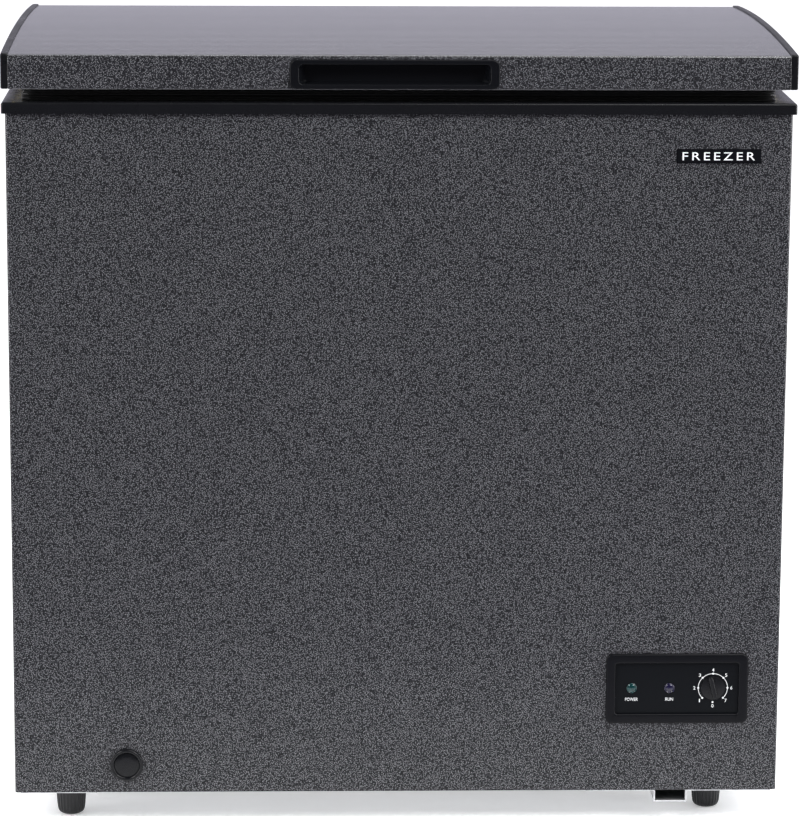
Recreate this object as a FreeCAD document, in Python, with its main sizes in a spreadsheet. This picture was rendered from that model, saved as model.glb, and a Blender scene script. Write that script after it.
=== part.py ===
import FreeCAD, Part
import math
import os

import Sketcher

# A seven cubic foot chest freezer: a foamed steel cabinet on four levelling feet, with a white
# inner tub, a black plastic collar, a crowned lid on two spring hinges, a machine bay with a
# hermetic compressor at the lower right, and a small control panel in front of that bay.
#
# Millimetres, +Z up, the front faces -Y. The origin is on the floor, midway between the sides
# and midway between the handle's face and the back of the hinges.

doc = FreeCAD.newDocument("chest_freezer")

# ---------------------------------------------------------------------------------------------
# Driving dimensions: plain numbers, one alias each
# ---------------------------------------------------------------------------------------------
SIZES = [
    ("cabinet_width", "842", "over the steel sides"),
    ("cabinet_depth", "526", "steel front to steel back"),
    ("cabinet_height", "753", "lower edge of the steel to the collar's lower edge"),
    ("floor_gap", "38", "floor to the lower edge of the steel"),
    ("steel", "0.8", "gauge of the painted sheets"),
    ("bend", "4", "outer radius of the cabinet's front corners"),
    ("flange", "14", "width of the sheets' turned-in flanges"),
    ("side_foam", "52", "insulation in the left and right walls"),
    ("end_foam", "50", "insulation in the front and back walls"),
    ("floor_foam", "50", "insulation under the tub"),
    ("step_foam", "48", "insulation round the machine bay"),
    ("tub_wall", "1.2", "gauge of the inner tub"),
    ("tub_corner", "24", "outer radius of the tub's corners"),
    ("tub_lip", "12", "flange at the tub's top edge"),
    ("bay_width", "201", "machine bay, from the right side inwards"),
    ("bay_height", "215", "machine bay, from the cabinet's lower edge up"),
    ("collar_height", "12", "face of the black collar"),
    ("collar_overhang", "4", "collar past the steel at the front and sides"),
    ("collar_rear", "1.5", "collar past the steel at the back"),
    ("collar_plate", "3", "thickness of the collar's top"),
    ("collar_skirt", "16", "depth of the collar's inner skirt below its top plate"),
    ("collar_step", "3", "inner skirt past the tub's wall, into the opening"),
    ("lid_depth", "540", "lid skin, front to back"),
    ("lid_lift", "14.4", "collar's top to the lid skin's lower edge"),
    ("lid_face", "36.3", "height of the lid's front face"),
    ("lid_crown", "7.5", "rise of the lid's top, front to back"),
    ("lid_bend", "3", "outer radius of the lid's top edges"),
    ("lid_hem", "16", "width of the lid skin's turned-in hems"),
    ("cap_width", "8", "width of the lid's end caps"),
    ("cap_rise", "1.6", "end cap above the lid skin"),
    ("cap_wall", "2.5", "wall of the end caps"),
    ("lid_sheet", "1.5", "gauge of the lid's inner panel"),
    ("pan_drop", "10", "depth of the inner panel's raised pan"),
    ("pan_inset", "12", "pan clear of the collar's opening"),
    ("gasket_inset", "20", "lid's edge to the gasket"),
    ("gasket_width", "18", "gasket, across its run"),
    ("gap", "0.3", "running clearance between bodies"),
    ("fit_gap", "0.05", "radial clearance of pins in their bores"),
    ("handle_width", "224", "handle bezel"),
    ("handle_height", "31.5", "handle bezel"),
    ("handle_proud", "2", "handle bezel in front of the lid"),
    ("handle_shift", "-6", "handle's centre from the lid's centre"),
    ("handle_border", "10", "bezel's border at its ends"),
    ("handle_edge", "5.2", "bezel's border above and below the recess"),
    ("handle_wall", "2", "wall of the handle's cup"),
    ("handle_reach", "18", "depth of the finger recess"),
    ("handle_round", "7", "corner radius of the handle bezel"),
    ("panel_width", "157", "control bezel"),
    ("panel_height", "79", "control bezel"),
    ("panel_proud", "4", "control bezel in front of the steel"),
    ("panel_border", "10.5", "control bezel's border"),
    ("panel_skirt", "4", "wall of the control bezel's skirt"),
    ("panel_round", "7.5", "corner radius of the control bezel"),
    ("panel_inset", "34", "right edge of the control bezel to the steel's edge"),
    ("panel_lift", "117", "control bezel's centre above the steel's lower edge"),
    ("fascia_sheet", "2", "thickness of the control fascia"),
    ("fascia_set", "0.5", "fascia behind the steel's face"),
    ("lamp_radius", "5.7", "indicator lens"),
    ("lamp_stem", "4.5", "stem of the indicator lens"),
    ("power_lamp", "-49.8", "power lamp from the panel's centre"),
    ("run_lamp", "-8.1", "run lamp from the panel's centre"),
    ("dial", "40", "thermostat dial from the panel's centre"),
    ("knob_radius", "13.5", "thermostat knob"),
    ("knob_disc", "2.4", "thickness of the knob's disc"),
    ("knob_bar", "2.6", "height of the knob's grip bar above its disc"),
    ("knob_turn", "14", "rest position of the knob, left of straight up, in degrees"),
    ("spindle", "3", "radius of the thermostat's spindle"),
    ("badge_width", "91", "badge plate"),
    ("badge_height", "15.5", "badge plate"),
    ("badge_inset", "33.8", "badge's right edge to the steel's edge"),
    ("badge_drop", "45", "badge's centre below the collar"),
    ("badge_sheet", "1.2", "thickness of the badge plate"),
    ("drain_inset", "123.4", "drain's axis from the steel's left edge"),
    ("drain_lift", "32", "drain's axis above the steel's lower edge"),
    ("drain_back", "95", "tub's drain hole behind the steel's front"),
    ("drain_bore", "8.2", "radius of the drain's bore"),
    ("drain_wall", "2.5", "wall of the drain's elbow"),
    ("drain_cap", "18.2", "radius of the drain's outer cap"),
    ("drain_proud", "5.5", "cap in front of the steel"),
    ("foot_top", "18", "radius of a foot at its top"),
    ("foot_base", "15.2", "radius of a foot near its base"),
    ("foot_pad", "9", "radius of the flat under a foot"),
    ("foot_left", "59", "left feet from the steel's left edge"),
    ("foot_right", "70.2", "right feet from the steel's right edge"),
    ("foot_front_left", "50", "front left foot behind the steel's front"),
    ("foot_front_right", "67", "front right foot behind the steel's front"),
    ("foot_rear", "60", "rear feet from the steel's back"),
    ("stud", "4", "radius of a foot's threaded stud"),
    ("stud_length", "18", "stud above the foot's top"),
    ("insert", "7", "radius of the threaded inserts"),
    ("insert_height", "20", "height of the threaded inserts"),
    ("plate", "1.5", "gauge of the machine base plate"),
    ("rail_left", "99", "rail's right wall from the steel's right edge"),
    ("rail_width", "36.5", "pressed rail in the base plate"),
    ("rail_drop", "14", "depth of the pressed rail"),
    ("hinge_reach", "29", "back of the steel to the back of the hinges"),
    ("hinge_spread", "480", "distance between the hinges"),
    ("hinge_width", "30", "hinge housing"),
    ("hinge_sheet", "2", "gauge of the hinge parts"),
    ("hinge_flange", "17", "screwed flange on each side of a housing"),
    ("hinge_drop", "72", "height of the housing below the collar"),
    ("pivot_back", "16.5", "hinge axis behind the steel's back"),
    ("pivot_lift", "7", "hinge axis above the collar's top"),
    ("pin", "3", "radius of the hinge pins"),
    ("ear", "6.5", "radius of the housing's ears round the pin"),
    ("cam", "9", "radius of the eccentric on the hinge leaf"),
    ("cam_throw", "4", "eccentricity of that cam"),
    ("cam_width", "14", "width of that cam"),
    ("plunger", "6", "radius of the hinge plunger"),
    ("plunger_length", "16", "plunger above its spring collar"),
    ("spring_wire", "2", "diameter of the hinge spring's wire"),
    ("spring_turns", "8", "turns of the hinge spring"),
    ("evaporator", "4", "radius of the evaporator tube"),
    ("evaporator_pitch", "58", "rise of one evaporator turn"),
    ("condenser", "2.5", "radius of the condenser tube"),
    ("condenser_pitch", "50", "distance between condenser passes"),
    ("compressor", "75", "radius of the compressor's shell"),
    ("compressor_height", "160", "compressor's shell"),
    ("compressor_in", "101", "compressor's axis from the steel's right edge"),
    ("compressor_y", "60", "compressor's axis behind the middle"),
    ("mount_x", "50", "compressor's mounting holes, half their spread across"),
    ("mount_y", "80", "compressor's mounting holes, half their spread front to back"),
    ("grommet", "10", "radius of the rubber grommets"),
    ("bolt", "3", "radius of the compressor's bolts"),
    ("foot_sheet", "3", "thickness of the compressor's foot plate"),
    ("plate_lift", "11", "compressor's foot plate above the base plate"),
    ("basket_width", "262", "wire basket, side to side"),
    ("basket_height", "190", "wire basket"),
    ("basket_inset", "14", "basket's left side from the tub's wall"),
    ("basket_wire", "3", "wire of the basket's panels"),
    ("basket_mesh", "26", "pitch of the basket's wires"),
    ("ear_wire", "5", "wire of the basket's hanger rails"),
    ("ear_length", "13", "hanger past the collar's opening"),
    ("screw", "2", "radius of the screws"),
    ("screw_head", "4.2", "radius of the screws' heads"),
    ("cord_bore", "4.5", "radius of the cord gland's bore"),
    ("gland_length", "10", "length of the cord gland"),
]

# Places worked out from the sizes above
PLACES = [
    ("side", "=size.cabinet_width / 2", "x of the right steel face"),
    ("front", "=-(size.cabinet_depth + size.hinge_reach - size.collar_overhang"
              " - size.handle_proud) / 2", "y of the steel's front face"),
    ("back", "=place.front + size.cabinet_depth", "y of the steel's back face"),
    ("bottom", "=size.floor_gap", "z of the steel's lower edge"),
    ("collar_low", "=place.bottom + size.cabinet_height", "z of the collar's lower edge"),
    ("collar_top", "=place.collar_low + size.collar_height", "z of the collar's top"),
    ("rim", "=place.collar_top - size.collar_plate", "z of the collar's top plate, underside"),
    ("inside", "=place.side - size.steel", "x of the steel's inner face"),
    ("panel_back", "=place.back - size.steel", "y of the back panel's outer face"),
    ("foam_back", "=place.back - 2 * size.steel", "y of the back panel's inner face"),
    ("pan", "=place.bottom + size.steel", "z of the base pan's underside"),
    ("foam_low", "=place.pan + size.steel", "z of the foam's underside"),
    ("bay", "=place.side - size.bay_width", "x of the machine bay's left wall"),
    ("bay_top", "=place.bottom + size.bay_height", "z of the machine bay's ceiling sheet, top"),
    ("tub_x", "=place.inside - size.side_foam", "x of the tub's outer face"),
    ("tub_front", "=place.front + size.steel + size.end_foam", "y of the tub's front, outside"),
    ("tub_back", "=place.foam_back - size.end_foam", "y of the tub's back, outside"),
    ("tub_floor", "=place.foam_low + size.floor_foam", "z of the tub's floor, underside"),
    ("step_x", "=place.bay - size.steel - size.step_foam", "x of the tub's step, outside"),
    ("step_z", "=place.bay_top + size.step_foam", "z of the tub's step, underside"),
    ("lid_half", "=place.side + size.collar_overhang", "half the lid's width"),
    ("lid_front", "=place.front - size.collar_overhang", "y of the lid's front face"),
    ("lid_back", "=place.lid_front + size.lid_depth", "y of the lid's back face"),
    ("lid_middle", "=place.lid_front + size.lid_depth / 2", "y of the lid's crown"),
    ("lid_low", "=place.collar_top + size.lid_lift", "z of the lid skin's lower edge"),
    ("lid_edge", "=place.lid_low + size.lid_face", "z of the lid's front top edge"),
    ("skin_x", "=place.lid_half - size.cap_width", "x of the lid skin's end"),
    ("hem_top", "=place.lid_low + size.steel", "z of the lid skin's hem, top"),
    ("panel_x", "=place.side - size.panel_inset - size.panel_width / 2", "x of the controls"),
    ("panel_z", "=place.bottom + size.panel_lift", "z of the controls"),
    ("fascia_y", "=place.front + size.fascia_set", "y of the fascia's face"),
    ("drain_x", "=-place.side + size.drain_inset", "x of the drain"),
    ("drain_y", "=place.front + size.drain_back", "y of the tub's drain hole"),
    ("drain_z", "=place.bottom + size.drain_lift", "z of the drain's axis"),
    ("foot_z", "=place.bottom - size.plate", "z where the feet's sockets end"),
    ("hinge_y", "=place.back + size.pivot_back", "y of the hinge axis"),
    ("hinge_z", "=place.collar_top + size.pivot_lift", "z of the hinge axis"),
    ("hinge_low", "=place.collar_low - size.hinge_drop", "z of the housings' lower end"),
    ("hinge_end", "=place.back + size.hinge_reach", "y of the housings' back"),
    ("cam_drop", "=size.cam_throw * sin(45deg)", "cam's centre below and before the axis"),
    ("plunger_z", "=place.hinge_z - size.cam - place.cam_drop - size.gap", "z of its top"),
    ("compressor_x", "=place.side - size.compressor_in", "x of the compressor"),
    ("opening_front", "=place.tub_front + size.tub_wall + size.collar_step", "y, collar's hole"),
    ("opening_back", "=place.tub_back - size.tub_wall - size.collar_step", "y, collar's hole"),
    ("opening_x", "=place.tub_x - size.tub_wall - size.collar_step", "x, collar's hole"),
    ("basket_left", "=-place.opening_x + size.basket_inset", "x of the basket's left side"),
    ("basket_right", "=place.basket_left + size.basket_width", "x of its right side"),
    ("basket_top", "=place.rim - size.ear_wire", "z of the basket's rim"),
    ("basket_low", "=place.basket_top - size.basket_height", "z of the basket's floor"),
    ("basket_front", "=place.opening_front + size.gap * 5", "y of the basket's front"),
    ("basket_back", "=place.opening_back - size.gap * 5", "y of the basket's back"),
]


def fill_sheet(name, rows):
    """A spreadsheet with one row for each value: its alias, its content and what it means."""
    sheet = doc.addObject("Spreadsheet::Sheet", name)
    for number, (alias, content, meaning) in enumerate(rows, 1):
        sheet.set(f"A{number}", alias)
        sheet.set(f"B{number}", content)
        sheet.setAlias(f"B{number}", alias)
        sheet.set(f"C{number}", meaning)
    doc.recompute()
    return sheet


size = fill_sheet("size", SIZES)
place = fill_sheet("place", PLACES)


def number(value):
    """A cell's value as a plain float."""
    return float(getattr(value, "Value", value))


# ---------------------------------------------------------------------------------------------
# Ways of making a piece
# ---------------------------------------------------------------------------------------------
nodes = {}
TURNED = {
    "x": FreeCAD.Rotation(FreeCAD.Vector(0, 1, 0), 90),
    "y": FreeCAD.Rotation(FreeCAD.Vector(1, 0, 0), -90),
    "z": FreeCAD.Rotation(),
}


def node(name, piece):
    """Keep a finished sub-part under the name its file takes."""
    piece.Label = name
    nodes[name] = piece
    return piece


def box(x, y, z, name="block"):
    """A block between a low and a high limit on each axis."""
    made = doc.addObject("Part::Box", name)
    for side, letter, (low, high) in zip(("Length", "Width", "Height"), "xyz", (x, y, z)):
        made.setExpression(side, f"({high}) - ({low})")
        made.setExpression(f"Placement.Base.{letter}", f"{low}")
    return made


def rod(axis, radius, centre, low, high, end_radius=None, name="rod"):
    """A cylinder, or a cone with two radii, along x, y or z; its centre on the other two axes."""
    made = doc.addObject("Part::Cylinder" if end_radius is None else "Part::Cone", name)
    made.Placement.Rotation = TURNED[axis]
    if end_radius is None:
        made.setExpression("Radius", f"{radius}")
    else:
        made.setExpression("Radius1", f"{radius}")
        made.setExpression("Radius2", f"{end_radius}")
    made.setExpression("Height", f"({high}) - ({low})")
    made.setExpression(f"Placement.Base.{axis}", f"{low}")
    for letter, middle in zip([each for each in "xyz" if each != axis], centre):
        made.setExpression(f"Placement.Base.{letter}", f"{middle}")
    return made


def join(*pieces, name="joined"):
    """Several solids made into one."""
    made = doc.addObject("Part::MultiFuse", name)
    made.Shapes = list(pieces)
    made.Refine = True
    return made


def group(*pieces, name="group"):
    """Several separate solids kept in one sub-part."""
    made = doc.addObject("Part::Compound", name)
    made.Links = list(pieces)
    return made


def common(*pieces, name="common"):
    """What several solids share."""
    made = doc.addObject("Part::MultiCommon", name)
    made.Shapes = list(pieces)
    made.Refine = True
    return made


def cut(base, *tools, name="cut"):
    """One solid less the others."""
    made = doc.addObject("Part::Cut", name)
    made.Base = base
    made.Tool = tools[0] if len(tools) == 1 else group(*tools)
    made.Refine = True
    return made


def mirror(piece, name="mirrored"):
    """The same piece on the other side of the freezer's middle plane."""
    made = doc.addObject("Part::Mirroring", name)
    made.Source = piece
    made.Normal = (1, 0, 0)
    return made


def moved(piece, x="0", y="0", z="0", name="placed"):
    """A copy of a piece, carried by the given distances."""
    made = doc.addObject("Part::Compound", name)
    made.Links = [piece]
    for letter, way in zip("xyz", (x, y, z)):
        made.setExpression(f"Placement.Base.{letter}", f"{way}")
    return made


def fixed_shape(shape, name="made"):
    """A sub-part whose solid comes straight from Part functions."""
    made = doc.addObject("Part::Feature", name)
    made.Shape = shape
    return made


def soften(piece, radius, chosen, name="softened"):
    """Round the edges of a piece that the test picks."""
    doc.recompute()
    made = doc.addObject("Part::Fillet", name)
    made.Base = piece
    value = number(radius)
    picked = [at for at, edge in enumerate(piece.Shape.Edges, 1) if chosen(edge)]
    made.Edges = [(at, value, value) for at in picked]
    return made


def along(axis, edge):
    """Whether an edge is straight and runs along an axis letter."""
    if len(edge.Vertexes) != 2 or edge.Curve.TypeId != "Part::GeomLine":
        return False
    start, end = (vertex.Point for vertex in edge.Vertexes)
    return all(abs(getattr(start, each) - getattr(end, each)) < 1e-4
               for each in "xyz" if each != axis)


def outline(sketch, loops):
    """Draw closed loops: lists of (u, v) corners, or (u, v, radius) for a circle."""
    for loop in loops:
        first = sketch.GeometryCount
        if isinstance(loop, tuple):
            u, v, radius = loop
            sketch.addGeometry(Part.Circle(FreeCAD.Vector(), FreeCAD.Vector(0, 0, 1), 5), False)
            marks = [("DistanceX", u, first, 3), ("DistanceY", v, first, 3)]
            sketch.addConstraint(Sketcher.Constraint("Radius", first, 5.0))
            sketch.setExpression(f"Constraints[{sketch.ConstraintCount - 1}]", f"{radius}")
        else:
            corners = [FreeCAD.Vector(*(probe(each) for each in corner), 0) for corner in loop]
            count = len(corners)
            for at in range(count):
                line = Part.LineSegment(corners[at], corners[(at + 1) % count])
                sketch.addGeometry(line, False)
            for at in range(count):
                sketch.addConstraint(Sketcher.Constraint(
                    "Coincident", first + at, 2, first + (at + 1) % count, 1))
            marks = []
            for at, (u, v) in enumerate(loop):
                marks += [("DistanceX", u, first + at, 1), ("DistanceY", v, first + at, 1)]
        for kind, value, geometry, point in marks:
            sketch.addConstraint(Sketcher.Constraint(kind, -1, 1, geometry, point, probe(value)))
            sketch.setExpression(f"Constraints[{sketch.ConstraintCount - 1}]", f"{value}")


def probe(expression):
    """The number an expression over the two sheets stands for at present."""
    return number(size.evalExpression(f"{expression}"))


def pad(plane, loops, low, high, body=None, name="Body", pocket=False):
    """Raise a sketched outline between two levels of XY, XZ or YZ, in a body of its own."""
    body = body or doc.addObject("PartDesign::Body", name)
    base = next(each for each in body.Origin.OriginFeatures if each.Role == f"{plane}_Plane")
    sketch = body.newObject("Sketcher::SketchObject", "Sketch")
    sketch.AttachmentSupport = [(base, "")]
    sketch.MapMode = "FlatFace"
    start = {("XY", False): low, ("XY", True): high, ("YZ", False): low, ("YZ", True): high,
             ("XZ", False): f"-({high})", ("XZ", True): f"-({low})"}[plane, pocket]
    sketch.setExpression("AttachmentOffset.Base.z", f"{start}")
    outline(sketch, loops)
    made = body.newObject("PartDesign::Pocket" if pocket else "PartDesign::Pad", "Feature")
    made.Profile = sketch
    made.setExpression("Length", f"({high}) - ({low})")
    body.Tip = made
    doc.recompute()
    return body


def rectangle(u, v):
    """A closed loop between two limits each way."""
    return [(u[0], v[0]), (u[1], v[0]), (u[1], v[1]), (u[0], v[1])]


def bent_path(points, bend):
    """A wire through the points, its corners turned at one radius."""
    points = [FreeCAD.Vector(*point) for point in points]
    edges = []
    here = points[0]
    for before, corner, after in zip(points, points[1:], points[2:]):
        arriving, leaving = (corner - before).normalize(), (after - corner).normalize()
        half = arriving.getAngle(leaving) / 2
        back = bend * math.tan(half)
        start, end = corner - arriving * back, corner + leaving * back
        inward = (leaving - arriving).normalize()
        middle = corner + inward * (bend / math.cos(half) - bend)
        if (start - here).Length > 1e-6:
            edges.append(Part.makeLine(here, start))
        edges.append(Part.Arc(start, middle, end).toShape())
        here = end
    if (points[-1] - here).Length > 1e-6:
        edges.append(Part.makeLine(here, points[-1]))
    return Part.Wire(edges)


def tube(points, radius, bend):
    """A round rod or tube bent along the points."""
    path = bent_path(points, bend)
    start = path.Edges[0]
    ring = Part.makeCircle(radius, start.Vertexes[0].Point,
                           start.tangentAt(start.FirstParameter))
    sweep = Part.BRepOffsetAPI.MakePipeShell(path)
    sweep.setFrenetMode(True)
    sweep.add(Part.Wire(ring))
    sweep.build()
    sweep.makeSolid()
    return sweep.shape()


# ---------------------------------------------------------------------------------------------
# Cabinet: steel wrap, back, pan, bay walls
# ---------------------------------------------------------------------------------------------
LEFT, RIGHT = "-place.side", "place.side"
IN_LEFT, IN_RIGHT = "-place.inside", "place.inside"
IN_FRONT = "place.front + size.steel"
wrap = [(LEFT, "place.back"), (LEFT, "place.front"), (RIGHT, "place.front"),
        (RIGHT, "place.back"), ("place.side - size.flange", "place.back"),
        ("place.side - size.flange", "place.panel_back"), (IN_RIGHT, "place.panel_back"),
        (IN_RIGHT, IN_FRONT), (IN_LEFT, IN_FRONT), (IN_LEFT, "place.panel_back"),
        ("size.flange - place.side", "place.panel_back"),
        ("size.flange - place.side", "place.back")]
shell = pad("XY", [wrap], "place.bottom", "place.rim", name="OuterShell")
pad("XY", [[(IN_LEFT, IN_FRONT), (IN_RIGHT, IN_FRONT), (IN_RIGHT, "place.panel_back"),
            ("place.side - size.flange", "place.panel_back"),
            ("place.side - size.flange", "place.front + size.flange"),
            ("size.flange - place.side", "place.front + size.flange"),
            ("size.flange - place.side", "place.panel_back"),
            (IN_LEFT, "place.panel_back")]],
    "place.bottom", "place.pan", body=shell)
control_hole = (("place.panel_x - size.panel_width / 2 + size.steel * 6",
                 "place.panel_x + size.panel_width / 2 - size.steel * 6"),
                ("place.panel_z - size.panel_height / 2 + size.steel * 6",
                 "place.panel_z + size.panel_height / 2 - size.steel * 6"))
pad("XZ", [rectangle(*control_hole),
           ("place.drain_x", "place.drain_z", "size.drain_bore + size.drain_wall + size.gap")],
    "place.front", IN_FRONT, body=shell, pocket=True)
vent_y = ("place.back - 190", "place.back - 60")
vent_z = ("place.bottom + 55", "place.bottom + 175")
pad("YZ", [rectangle(vent_y, vent_z)], IN_RIGHT, RIGHT, body=shell, pocket=True)
long_edge = number(size.cabinet_height) * 0.9
outside = soften(shell, size.bend, lambda edge: along("z", edge) and edge.Length > long_edge
                 and abs(edge.CenterOfMass.y - number(place.front)) < 0.01)
inside = soften(outside, number(size.bend) - number(size.steel),
                lambda edge: along("z", edge) and edge.Length > long_edge
                and abs(edge.CenterOfMass.y - number(place.front) - number(size.steel)) < 0.01
                and abs(abs(edge.CenterOfMass.x) - number(place.inside)) < 0.01)
outer_shell = node("outer_shell", inside)

bay_low, bay_high = "place.bottom + 9", "place.bay_top - 8"
bay_left, bay_right = "place.bay + 8", "place.side - 22"
back_panel = pad("XZ", [rectangle((IN_LEFT, IN_RIGHT), ("place.pan", "place.rim")),
                        rectangle((bay_left, bay_right), (bay_low, bay_high))],
                 "place.foam_back", "place.panel_back", name="BackPanel")
middle = "size.hinge_spread / 2"
half_wide = "size.hinge_width / 2"
screw_spots = [(f"{hinge} {side} ({half_wide} + size.hinge_flange / 2)", height)
               for hinge in (middle, f"-{middle}") for side in "+-"
               for height in ("place.hinge_low + 12", "place.collar_low - 14")]
screw_holes = [rod("y", "size.screw", spot, "place.foam_back - 1", "place.back + 9")
               for spot in screw_spots]
node("back_panel", cut(back_panel, *screw_holes))

base_pan = pad("XY", [rectangle((IN_LEFT, "place.bay"), (IN_FRONT, "place.foam_back"))],
               "place.pan", "place.foam_low", name="BasePan")
bay_wall = pad("XZ", [[("place.bay - size.steel", "place.foam_low"),
                       ("place.bay", "place.foam_low"),
                       ("place.bay", "place.bay_top - size.steel"),
                       (IN_RIGHT, "place.bay_top - size.steel"),
                       (IN_RIGHT, "place.bay_top"),
                       ("place.bay - size.steel", "place.bay_top")]],
               IN_FRONT, "place.foam_back", name="BayWall")
inner_bend = number(size.bend) - number(size.steel)


def at_front(edge):
    """Whether an edge is an upright one at the front corners of what fills the steel wrap."""
    return along("z", edge) and abs(edge.CenterOfMass.y - probe(IN_FRONT)) < 0.01 \
        and abs(abs(edge.CenterOfMass.x) - number(place.inside)) < 0.01


node("bay_wall", soften(bay_wall, inner_bend, at_front))

rail_left = "place.side - size.rail_left - size.rail_width"
rail_right = "place.side - size.rail_left"
rail_low = "place.bottom - size.rail_drop"
base_plate = pad("XZ", [[("place.bay - 10", "place.bottom - size.plate"),
                         (f"{rail_left}", "place.bottom - size.plate"),
                         (f"{rail_left}", rail_low), (f"{rail_right}", rail_low),
                         (f"{rail_right}", "place.bottom - size.plate"),
                         ("place.side - 6", "place.bottom - size.plate"),
                         ("place.side - 6", "place.bottom"),
                         (f"{rail_right} - size.plate", "place.bottom"),
                         (f"{rail_right} - size.plate", f"{rail_low} + size.plate"),
                         (f"{rail_left} + size.plate", f"{rail_low} + size.plate"),
                         (f"{rail_left} + size.plate", "place.bottom"),
                         ("place.bay - 10", "place.bottom")]],
                 "place.front + 2", "place.back - 2", name="BasePlate")
foot_plate = pad("XY", [rectangle(("6 - place.side", "90 - place.side"),
                                  ("place.front + 2", "place.back - 2"))],
                 "place.bottom - size.plate", "place.bottom", name="FootPlate")

# ---------------------------------------------------------------------------------------------
# Feet: a ribbed plastic foot on a steel stud in a threaded insert, four times
# ---------------------------------------------------------------------------------------------
foot_high = "place.foot_z - size.gap"
foot_body = pad("XZ", [[("0", "0"), ("size.foot_pad", "0"),
                        ("size.foot_base - 1.2", "2.6"), ("size.foot_base", "7"),
                        ("size.foot_top", f"{foot_high} - 4"),
                        ("size.foot_top", f"{foot_high} - 1"),
                        ("size.foot_top - 1", foot_high), ("0", foot_high)]],
                "0", "1", name="FootProfile")
foot_spun = doc.addObject("Part::Revolution", "foot_spun")
foot_spun.Source = foot_body.Group[0]
foot_spun.Axis = (0, 0, 1)
foot_spun.Base = (0, 0, 0)
foot_spun.Angle = 360
foot_spun.Solid = True
flutes = []
for turn in range(24):
    around = math.radians(15 * turn)
    flute = doc.addObject("Part::Cylinder", "flute")
    flute.setExpression("Radius", "size.foot_top / 15")
    flute.setExpression("Height", f"{foot_high} - 15")
    reach = number(size.foot_base) + 0.6
    lean = math.degrees(math.atan2(number(size.foot_top) - number(size.foot_base),
                                   number(place.foot_z) - 12))
    flute.Placement = FreeCAD.Placement(
        FreeCAD.Vector(reach * math.cos(around), reach * math.sin(around), 9),
        FreeCAD.Rotation(FreeCAD.Vector(-math.sin(around), math.cos(around), 0), lean))
    flutes.append(flute)
ribbed = cut(foot_spun, *flutes, name="ribbed")
foot_stud = rod("z", "size.stud", ("0", "0"), f"{foot_high} - 6",
                f"{foot_high} + size.stud_length")
foot_whole = join(ribbed, foot_stud, name="foot_whole")
insert_high = "place.foot_z + size.insert_height"
insert_whole = cut(join(rod("z", "size.insert", ("0", "0"), "place.foot_z", insert_high),
                        rod("z", "size.insert + 4", ("0", "0"), "place.bottom", "place.pan")),
                   rod("z", "size.stud + size.fit_gap", ("0", "0"), "place.foot_z - 1",
                       f"{insert_high} + 1"))
foot_places = {
    "front_left": ("size.foot_left - place.side", "place.front + size.foot_front_left"),
    "front_right": ("place.side - size.foot_right", "place.front + size.foot_front_right"),
    "rear_left": ("size.foot_left - place.side", "place.back - size.foot_rear"),
    "rear_right": ("place.side - size.foot_right", "place.back - size.foot_rear"),
}
inserts, insert_holes = [], []
for corner, (x, y) in foot_places.items():
    node(f"foot_{corner}", moved(foot_whole, x, y))
    inserts.append(moved(insert_whole, x, y))
    insert_holes.append(rod("z", "size.insert", (x, y), "place.bottom - 3", insert_high))
node("foot_inserts", group(*inserts))
pan_holes = [rod("z", "size.insert", foot_places[corner], "place.pan - 1", "place.foam_low + 1")
             for corner in ("front_left", "rear_left")]
drain_tube_hole = rod("z", "size.drain_bore + size.drain_wall + size.gap",
                      ("place.drain_x", "place.drain_y"), "place.drain_z", "place.tub_floor")
node("base_pan", soften(cut(base_pan, *pan_holes), inner_bend, at_front))
bolt_spots = [(f"place.compressor_x {across} size.mount_x", f"size.compressor_y {along_y} size.mount_y")
              for across in "+-" for along_y in "+-"]
bolt_holes = [rod("z", "size.bolt + size.fit_gap", spot, "place.bottom - 5", "place.bottom + 20")
              for spot in bolt_spots]
node("base_plates", group(cut(base_plate, insert_holes[1], insert_holes[3], *bolt_holes),
                          cut(foot_plate, insert_holes[0], insert_holes[2])))

# ---------------------------------------------------------------------------------------------
# Tub: one formed skin, stepped over the machine bay
# ---------------------------------------------------------------------------------------------
tub_y = ("place.tub_front", "place.tub_back")
tub_body = pad("XZ", [[("-place.tub_x", "place.tub_floor"), ("place.step_x", "place.tub_floor"),
                       ("place.step_x", "place.step_z"), ("place.tub_x", "place.step_z"),
                       ("place.tub_x", "place.rim"), ("-place.tub_x", "place.rim")]],
               *tub_y, name="TubBlock")
tub_block = soften(tub_body, size.tub_corner, lambda edge: abs(
    edge.CenterOfMass.z - number(place.rim)) > 1)
doc.recompute()
tub_hollow = doc.addObject("Part::Thickness", "tub_hollow")
top_face = max(range(len(tub_block.Shape.Faces)),
               key=lambda at: tub_block.Shape.Faces[at].CenterOfMass.z)
tub_hollow.Faces = (tub_block, [f"Face{top_face + 1}"])
tub_hollow.setExpression("Value", "-size.tub_wall")
lip_x = ("-place.tub_x - size.tub_lip", "place.tub_x + size.tub_lip")
lip_y = ("place.tub_front - size.tub_lip", "place.tub_back + size.tub_lip")
lip_z = ("place.rim - size.tub_wall", "place.rim")
tub_lip = cut(box(lip_x, lip_y, lip_z), tub_block)
liner = cut(join(tub_hollow, tub_lip),
            rod("z", "size.drain_bore", ("place.drain_x", "place.drain_y"),
                "place.tub_floor - 5", "place.tub_floor + 5"))
node("liner", liner)

# ---------------------------------------------------------------------------------------------
# Evaporator round the tub and condenser against the steel, both in the foam
# ---------------------------------------------------------------------------------------------
n = {alias: number(getattr(place, alias)) for alias, *_ in PLACES}
k = {alias: number(getattr(size, alias)) for alias, *_ in SIZES}


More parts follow.
